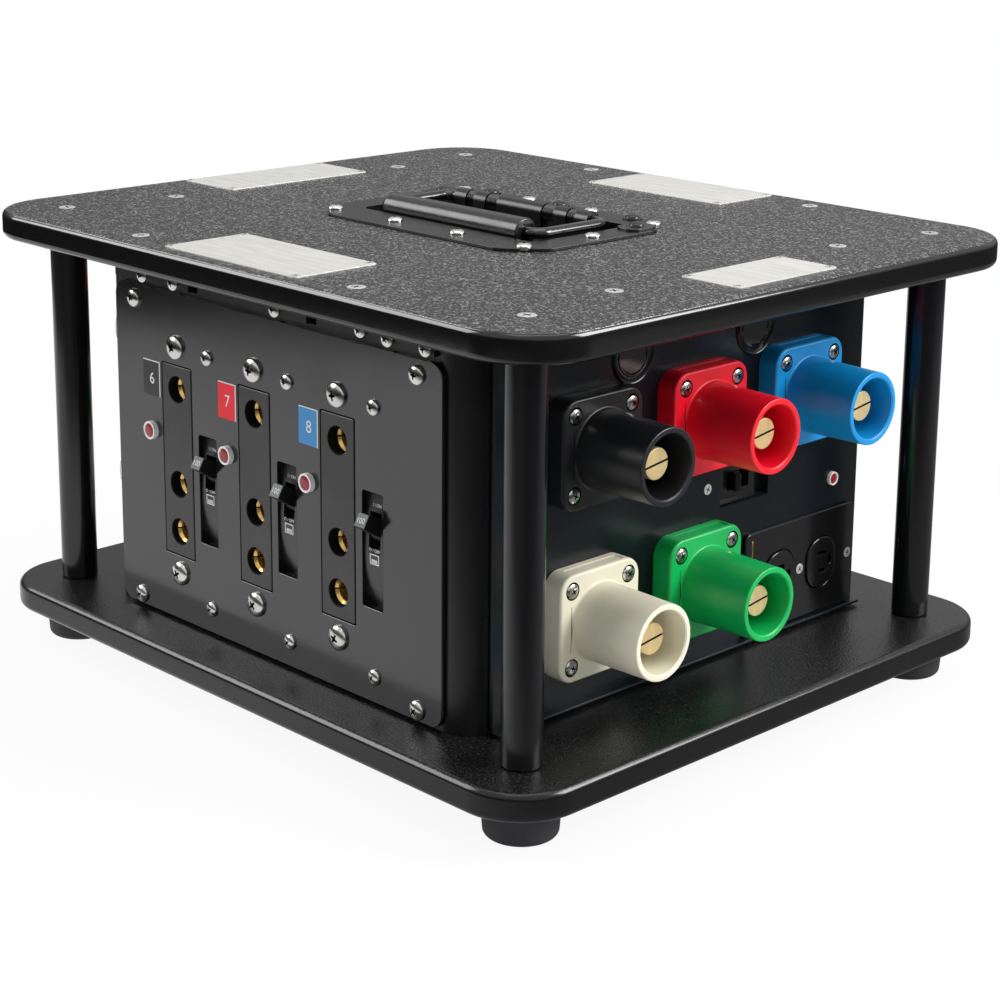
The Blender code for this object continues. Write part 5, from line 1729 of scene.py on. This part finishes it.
@dataclass
class InletPanel:
    """The right-hand panel: five cam inlets, two hole plugs, a small breaker and a duplex."""

    side: Side = Side.RIGHT
    half: float = 0.176
    height: float = 0.2420
    corner: float = 0.004
    ledge_thickness: float = 0.002
    plug_radius: float = 0.0190
    plug_rise: float = 0.0015
    plug_spacing: float = 0.1176
    plug_drop: float = 0.0250
    window_clearance: float = 0.0004
    lamp_place: Point = (0.1475, 0.0980)
    lamp_shape: tuple[float, float, float] = (0.0048, 0.0038, 0.0026)
    screw_place: Point = (0.0165, 0.1166)
    gold_place: Point = (0.0610, 0.0660)
    gold_size: Place = (0.0012, 0.0003, 0.0120)

    def build(self) -> None:
        """Builds the panel and all that is on it."""
        self.low, self.high = local_box("inlet_panel", self.side)
        self.face = self.high.y - INLET_SHEET
        inlets = [CamInlet(pole, self.side) for pole in Pole]
        duplex, breaker = Duplex(), SmallBreaker()
        self.panel(inlets, duplex, breaker)
        for device in (*inlets, duplex, breaker):
            device.build()
        self.trim()

    def panel(self, inlets: Sequence[CamInlet], duplex: Duplex, breaker: SmallBreaker) -> None:
        """The sheet with its ledge, and its openings for what passes through it.

        Args:
            inlets: The cam inlets.
            duplex: The duplex receptacle.
            breaker: The small breaker.
        """
        low, high, face = self.low, self.high, self.face
        sheet = slab((-self.half, face, low.z), (self.half, high.y, low.z + self.height), Axis.Y, self.corner,
                     0.0005, Ends.LOW, 6, 2)
        ledge = slab((-self.half, low.y, low.z), (self.half, face + 0.0015, low.z + self.ledge_thickness), Axis.X,
                     0.0006, corner_steps=3)
        sheet = fused(sheet, ledge)
        tools = []
        for inlet in inlets:
            centre = inlet.centre()
            radius = inlet.boss_radius + 0.0004
            tools.append(moved(cylinder(radius, -PAST, PAST, Axis.Y, 48), (centre.x, face, centre.z)))
        base, room = deck_face(), self.window_clearance
        for x, z, half_x, half_z in ((duplex.x, base + duplex.rise, duplex.body_half_x, duplex.body_half_z),
                                     (breaker.x, base + breaker.rise, breaker.half_x, breaker.half_z)):
            tools.append(slab((x - half_x - room, face - PAST, z - half_z - room),
                              (x + half_x + room, face + PAST, z + half_z + room)))
        sill, half = base + breaker.rise - breaker.half_z, breaker.half_x + room
        lip = extruded([(face - 0.001, sill - 0.0022), (face + 0.0022, sill), (face - 0.001, sill + 0.004)],
                       Axis.X, breaker.x - half, breaker.x + half)
        sheet = cut(cut(sheet, *tools), lip)
        add_piece("inlet_panel_sheet", sheet, (BLUE_ENAMEL,), stands_for=("inlet_panel",),
                  side=self.side, edge=0.0002)

    def trim(self) -> None:
        """The hole plugs, the lamp, the single screw and a thin gold strip that is a painted reflection on the
        duplex plate.
        """
        base, face = deck_face(), self.face
        z = self.low.z + self.height - self.plug_drop
        radius, rise = self.plug_radius, self.plug_rise
        profile = [(0.0, -rise * 0.55), (radius * 0.60, -rise * 0.55), (radius * 0.64, -rise * 0.95),
                   (radius * 0.70, -rise * 0.95), (radius * 0.74, -rise * 0.5), (radius * 0.86, -rise * 0.6),
                   (radius * 0.93, -rise), (radius - 0.0004, -rise * 0.55), (radius, 0.0), (radius, 0.0012),
                   (0.0, 0.0012)]
        places = [(hand * self.plug_spacing / 2, face, z) for hand in (-1, 1)]
        add_piece("hole_plugs", repeated(spun(profile, Axis.Y, 56), places), (DUPLEX,),
                  side=self.side)
        bezel, lens = neon_lamp(*self.lamp_shape)
        place = (self.lamp_place[0], face, base + self.lamp_place[1])
        add_piece("duplex_lamp_bezel", moved(bezel, place), (BEZEL,), side=self.side)
        add_piece("duplex_lamp_lens", moved(lens, place), (LENS,), side=self.side)
        x, rise = self.screw_place
        screws("inlet_panel_screw", ScrewKind.SMALL_FLAT, [(x, face, base + rise)], self.side)
        # A thin gold strip on the duplex plate: a painted reflection.
        x, rise = self.gold_place
        y = face - Duplex.plate_thickness - self.gold_size[1] / 2
        strip = centred((x, y, base + rise), self.gold_size)
        add_piece("gold_strip", strip, (PAINTED_REFLECTION,), side=self.side)


@dataclass
class FeedThroughPanel:
    """The left-hand panel: five female cam outlets under flip covers."""

    side: Side = Side.LEFT

    def build(self) -> None:
        """Dresses the panel and builds the outlets."""
        dress("feed_through_panel", BLUE_ENAMEL)
        for pole in Pole:
            CamOutlet(pole, self.side).build()


# ---------------------------------------------------------------- handle


@dataclass
class CarryHandle:
    """The recessed handle: pan, hinge barrel, wire bail, grip and bumpers."""

    pan_half_x: float = 0.109
    pan_half_y: float = 0.075
    pan_clip: float = 0.024
    sheet: float = 0.0020
    tray_low: Point = (-0.086, -0.0435)
    tray_high: Point = (0.086, 0.0480)
    tray_depth: float = 0.0130
    tray_corner: float = 0.008
    wire: float = 0.0040
    bail_half: float = 0.0775
    bail_bend: float = 0.009
    bail_reach: float = 0.0640
    knuckle_radius: float = 0.0066
    knuckle_spans: tuple[Point, ...] = ((-0.066, -0.054), (-0.046, -0.034), (-0.022, 0.022), (0.034, 0.046),
                                        (0.054, 0.066))
    running: float = 0.0003
    grip_radius: float = 0.0097
    grip_half: float = 0.0665
    grip_edge: float = 0.0014
    screw_places: tuple[Point, ...] = ((-0.094, -0.060), (-0.031, -0.060), (0.031, -0.060), (0.094, -0.060),
                                       (-0.0975, 0.0), (0.0975, 0.0), (-0.094, 0.063), (-0.031, 0.0675),
                                       (0.031, 0.0675), (0.094, 0.063))
    bumpers: tuple[Point, ...] = ((-0.070, 0.068), (0.0, 0.068), (0.070, 0.068))
    pads: tuple[Point, ...] = ((-0.096, 0.044), (0.096, 0.044))

    def build(self) -> None:
        """Builds the pan, the bail with its grip, the screws and the bumpers."""
        self.pivot = pivot_of("carry_handle_hinge", Side.FRONT)
        self.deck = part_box("top_deck")[1].z
        self.face = self.deck + SEAM + self.sheet
        self.pan()
        self.springs()
        self.bail()
        top_screws("handle_screws", ScrewKind.PAN, [(x, y, self.face) for x, y in self.screw_places])
        self.rubber()

    def pan(self) -> None:
        """The pressed pan with its tray and the rolled barrel of its hinge."""
        hx, hy, c = self.pan_half_x, self.pan_half_y, self.pan_clip
        outline = [(hx, hy - c), (hx - c, hy), (c - hx, hy), (-hx, hy - c), (-hx, c - hy), (c - hx, -hy),
                   (hx - c, -hy), (hx, c - hy)]
        low, high = self.deck + SEAM, self.face
        plate = extruded(outline, Axis.Z, low, high)
        corners = [e for e in plate.edges if abs(e.verts[0].co.z - e.verts[1].co.z) > self.sheet / 2]
        bevelled(plate, corners, 0.006, 5)
        round_rims(plate, Axis.Z, Ends.HIGH, 0.0006, 2)
        grow, floor = self.sheet, self.deck - self.tray_depth
        (x0, y0), (x1, y1) = self.tray_low, self.tray_high
        tray = slab((x0 - grow, y0 - grow, floor - grow), (x1 + grow, y1 + grow, low + grow / 2), Axis.Z,
                    self.tray_corner + grow, corner_steps=8)
        opening = slab((x0, y0, floor), (x1, y1, high + PAST), Axis.Z, self.tray_corner, corner_steps=8)
        pan = cut(fused(plate, tray), opening)
        root, radius = floor - grow / 2, self.knuckle_radius
        profile = [(self.pivot.y + radius * math.cos(math.pi * i / 14),
                    self.pivot.z + radius * math.sin(math.pi * i / 14)) for i in range(15)]
        profile += [(self.pivot.y - radius, root), (self.pivot.y + radius, root)]
        knuckles = [extruded(profile, Axis.X, start, end) for start, end in self.knuckle_spans]
        room, reach = self.wire + self.running, self.knuckle_spans[-1][1] + 0.004
        pan = cut(fused(pan, *knuckles), moved(cylinder(room, -reach, reach, Axis.X, 28), self.pivot))
        add_piece("handle_pan_pressed", pan, (POWDER,), stands_for=("handle_pan",),
                  edge=0.0002)

    def springs(self) -> None:
        """The coils of the return spring that show between the knuckles."""
        coils = []
        inner, outer, pitch = self.wire + 2 * self.running, self.knuckle_radius - 0.0006, 0.0019
        for (_, start), (end, _) in zip(self.knuckle_spans, self.knuckle_spans[1:]):
            turns = max(2, round((end - start - 2 * SEAM) / pitch))
            step = (end - start - 2 * SEAM) / turns
            for turn in range(turns):
                low = start + SEAM + turn * step
                profile = [(radius, low + share * step) for radius, share in (
                    (inner, 0.1), (outer - 0.0006, 0.02), (outer, 0.35), (outer, 0.65), (outer - 0.0006, 0.98),
                    (inner, 0.9))]
                coils.append(moved(spun(profile, Axis.X, 28), self.pivot))
        add_piece("handle_spring", joined(coils), (WIRE_PAINT,), sharp=50)

    def bail(self) -> None:
        """The wire bail as a closed loop, and the grip round its outer side."""
        loop = []
        x, y, r = self.bail_half, self.bail_reach, self.bail_bend
        for quarter, (cx, cy) in enumerate(((x - r, -r), (r - x, -r), (r - x, r - y), (x - r, r - y))):
            for i in range(9):
                angle = math.radians(90 * (quarter + i / 8))
                loop.append((cx + r * math.cos(angle), cy + r * math.sin(angle)))
        curve = bpy.data.curves.new("bail", "CURVE")
        curve.dimensions = "3D"
        spline = curve.splines.new("POLY")
        spline.points.add(len(loop) - 1)
        for point, place in zip(spline.points, loop):
            point.co = (*place, 0.0, 1.0)
        spline.use_cyclic_u = True
        curve.bevel_depth = self.wire
        curve.bevel_resolution = 6
        holder = bpy.data.objects.new("bail", curve)
        bpy.context.scene.collection.objects.link(holder)
        bpy.context.view_layer.update()
        data = bpy.data.meshes.new_from_object(holder.evaluated_get(bpy.context.evaluated_depsgraph_get()))
        wire = bmesh.new()
        wire.from_mesh(data)
        bpy.data.objects.remove(holder)
        bpy.data.curves.remove(curve)
        bpy.data.meshes.remove(data)
        bmesh.ops.remove_doubles(wire, verts=wire.verts, dist=1e-7)
        tinted(wire, 0)
        add_piece("handle_bail_wire", moved(wire, self.pivot), (WIRE_PAINT,), "carry_handle",
                  ("handle_bail",))
        inner, edge, half, radius = self.wire + SEAM, self.grip_edge, self.grip_half, self.grip_radius
        profile: list[Point] = [(inner, -half)]
        for end in (-1, 1):
            arc = [(radius - edge * (1 - math.sin(math.radians(18 * i))),
                    end * (half - edge * (1 - math.cos(math.radians(18 * i))))) for i in range(6)]
            profile += arc if end < 0 else arc[::-1]
        profile.append((inner, half))
        grip = moved(spun(profile, Axis.X, 64), self.pivot + Vector((0, -self.bail_reach, 0)))
        add_piece("handle_grip_tube", grip, (GRIP,), "carry_handle", ("handle_grip",))

    def rubber(self) -> None:
        """The round bumpers behind the barrel, and the pads at the rear corners."""
        dome: list[Point] = [(0.0, 0.0), (0.0068, 0.0), (0.0068, 0.0008)]
        dome += [(0.0052 * math.cos(math.radians(15 * i)), 0.0010 + 0.0026 * math.sin(math.radians(15 * i)))
                 for i in range(6)]
        dome.append((0.0, 0.0036))
        places = [(x, y, self.face) for x, y in self.bumpers]
        add_piece("handle_bumpers", repeated(spun(dome, Axis.Z, 40), places), (MOULDED,))
        pads = []
        for x, y in self.pads:
            pad = centred((x, y, self.face + 0.0009), (0.020, 0.026, 0.0018), axis=Axis.Z, corner=0.008,
                          rim=0.0007, ends=Ends.HIGH)
            pads.append(fused(pad, moved(spun(dome, Axis.Z, 40), (x, y, self.face + 0.0012))))
        add_piece("handle_pads", joined(pads), (MOULDED,))


# ---------------------------------------------------------------- studio


@dataclass
class Studio:
    """The camera where the photograph was taken, plain soft lights, and a pale floor.

    The ramps set how bright the room and the floor are by direction or place. Those that are called
    mirrored hold for the floor in reflections: across the picture, towards the camera and aslant.
    """

    place: Place = (1.1077, -1.0592, 0.5917)
    yaw: float = 135.302
    pitch: float = -13.545
    roll: float = 0.703
    lens: float = 81.25
    shift: Point = (-0.027, -0.15)
    room_colour: Colour = (0.92, 0.95, 1.0)
    room_strength: float = 0.42
    rising: Ramp = (-0.06, 0.42, 0.05, 1.0)
    rightward: Ramp = (-0.60, 0.35, 0.30, 1.0)
    overhead: Ramp = (0.15, 0.45, 0.0, 1.0)
    floor_radius: float = 1.5
    floor_grey: Colour = (0.80, 0.80, 0.80)
    floor_fade: Ramp = (0.30, 0.70, 0.92, 1.0)
    mirrored_across: Ramp = (-0.30, 0.15, 1.0, 0.28)
    mirrored_ahead: Ramp = (0.50, 0.95, 1.0, 0.18)
    mirrored_skew: Ramp = (-1.39, -1.265, 0.03, 0.92)
    skew: float = 0.5
    lamps: tuple[tuple[str, Place, Place, float, float], ...] = (
        ("overhead", (0.2, -0.1, 2.0), (0.0, 0.0, 0.0), 1.6, 14.0),
        ("front_left", (-1.75, -1.45, 1.45), (0.0, 0.0, 0.15), 1.3, 34.0),
        ("right", (1.7, 1.1, 1.4), (0.0, 0.0, 0.15), 1.2, 62.0))

    def build(self) -> None:
        """Builds the camera, the world, the floor and the lights."""
        self.camera()
        self.world()
        self.floor()
        self.lights()
        bpy.context.scene.view_settings.view_transform = "Standard"

    def camera(self) -> None:
        """The camera, aimed by its yaw, pitch and roll."""
        yaw, pitch, roll = (math.radians(angle) for angle in (self.yaw, self.pitch, self.roll))
        ahead = Vector((math.cos(pitch) * math.cos(yaw), math.cos(pitch) * math.sin(yaw), math.sin(pitch)))
        level = ahead.cross(Vector((0, 0, 1))).normalized()
        up = level.cross(ahead)
        right = level * math.cos(roll) + up * math.sin(roll)
        top = up * math.cos(roll) - level * math.sin(roll)
        data = bpy.data.cameras.new("camera")
        data.lens, data.sensor_width = self.lens, 36.0
        data.shift_x, data.shift_y = self.shift
        data.clip_start = 0.01
        made = bpy.data.objects.new("camera", data)
        turn = Matrix((right, top, -ahead)).transposed().to_4x4()
        made.matrix_world = Matrix.Translation(self.place) @ turn
        bpy.context.scene.collection.objects.link(made)
        bpy.context.scene.camera = made

    def world(self) -> None:
        """White to the camera, and a soft grey room to everything else.

        What shines or lets light through sees a room that is dark at the horizon and on the left,
        and bright above and on the right.
        """
        world = bpy.data.worlds.new("studio")
        world.use_nodes = True
        tree = world.node_tree
        nodes, links = tree.nodes, tree.links
        room = nodes["Background"]
        room.inputs["Color"].default_value = (*self.room_colour, 1.0)
        room.inputs["Strength"].default_value = self.room_strength
        direction = nodes.new("ShaderNodeTexCoord")
        parts = nodes.new("ShaderNodeSeparateXYZ")
        links.new(direction.outputs["Generated"], parts.inputs[0])
        x, y, z = parts.outputs
        rightward = mapped(tree, computed(tree, "ADD", x, y), self.rightward)
        brighter = computed(tree, "MAXIMUM", rightward, mapped(tree, z, self.overhead))
        seen = nodes.new("ShaderNodeBackground")
        links.new(computed(tree, "MULTIPLY", mapped(tree, z, self.rising), brighter), seen.inputs["Strength"])
        white = nodes.new("ShaderNodeBackground")
        white.inputs["Color"].default_value = (1.0, 1.0, 1.0, 1.0)
        path = nodes.new("ShaderNodeLightPath").outputs
        mirrored = computed(tree, "MAXIMUM", path["Is Glossy Ray"], path["Is Transmission Ray"])
        last = room
        for share, over in ((mirrored, seen), (path["Is Camera Ray"], white)):
            mix = nodes.new("ShaderNodeMixShader")
            for socket, output in zip(mix.inputs, (share, last.outputs[0], over.outputs[0])):
                links.new(output, socket)
            last = mix
        links.new(last.outputs[0], nodes["World Output"].inputs["Surface"])
        bpy.context.scene.world = world

    def floor(self) -> None:
        """A round pale floor that keeps the box's shadow and fades into the white at its edge."""
        mesh = bmesh.new()
        bmesh.ops.create_circle(mesh, cap_ends=True, segments=96, radius=self.floor_radius)
        data = bpy.data.meshes.new("floor")
        mesh.to_mesh(data)
        mesh.free()
        data.materials.append(self.floor_material())
        made = bpy.data.objects.new("floor", data)
        bpy.context.scene.collection.objects.link(made)

    def floor_material(self) -> bpy.types.Material:
        """A dull pale grey that fades to white, and that reflections show brighter on some sides.

        Returns:
            The new material.
        """
        shading = Shading("floor_pale")
        tree, place = shading.tree, shading.coordinates.outputs["Object"]
        inputs = shading.shader.inputs
        inputs["Base Color"].default_value = (*self.floor_grey, 1.0)
        inputs["Roughness"].default_value = 0.9
        inputs["Specular IOR Level"].default_value = 0.0
        parts = tree.nodes.new("ShaderNodeSeparateXYZ")
        shading.link(place, parts.inputs[0])
        x, y, _ = parts.outputs
        reach = tree.nodes.new("ShaderNodeVectorMath")
        reach.operation = "LENGTH"
        shading.link(place, reach.inputs[0])
        fade = mapped(tree, reach.outputs["Value"], self.floor_fade)
        bright = shading.times(mapped(tree, computed(tree, "ADD", x, y), self.mirrored_across),
                               mapped(tree, computed(tree, "SUBTRACT", x, y), self.mirrored_ahead))
        skewed = computed(tree, "MULTIPLY_ADD", x, self.skew, y)
        bright = shading.times(bright, mapped(tree, skewed, self.mirrored_skew))
        path = tree.nodes.new("ShaderNodeLightPath").outputs
        glow = tree.nodes.new("ShaderNodeEmission")
        shading.link(shading.blend(path["Is Glossy Ray"], (1.0, 1.0, 1.0), bright), glow.inputs["Color"])
        share = computed(tree, "MAXIMUM", shading.times(path["Is Camera Ray"], fade), path["Is Glossy Ray"])
        mix = tree.nodes.new("ShaderNodeMixShader")
        for socket, output in zip(mix.inputs, (share, shading.shader.outputs[0], glow.outputs[0])):
            shading.link(output, socket)
        shading.link(mix.outputs[0], tree.nodes["Material Output"].inputs["Surface"])
        return shading.material

    def lights(self) -> None:
        """The three soft lights: above, from the front left and from the right."""
        for lamp in self.lamps:
            self.light(*lamp)

    def light(self, name: str, place: Sequence[float], target: Sequence[float], size: float,
              power: float) -> None:
        """One square soft light.

        Args:
            name: Its name.
            place: Where it stands.
            target: What it is aimed at.
            size: The length of its sides.
            power: Its power in watts.
        """
        data = bpy.data.lights.new(name, "AREA")
        data.size, data.energy = size, power
        made = bpy.data.objects.new(name, data)
        made.location = place
        made.rotation_euler = (Vector(target) - Vector(place)).to_track_quat("-Z", "Y").to_euler()
        bpy.context.scene.collection.objects.link(made)


def main() -> None:
    """Builds the box and its studio."""
    logging.basicConfig(level=logging.INFO, format="%(message)s")
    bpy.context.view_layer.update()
    parts = (Decks(), PostsAndFeet(), Enclosure(), OutletPanel(Side.FRONT, (6, 7, 8)),
             OutletPanel(Side.BACK, (3, 4, 5)), InletPanel(), FeedThroughPanel(), CarryHandle(), Studio())
    for part in parts:
        part.build()
        LOG.info("built %s", type(part).__name__)


if __name__ == "__main__":
    main()
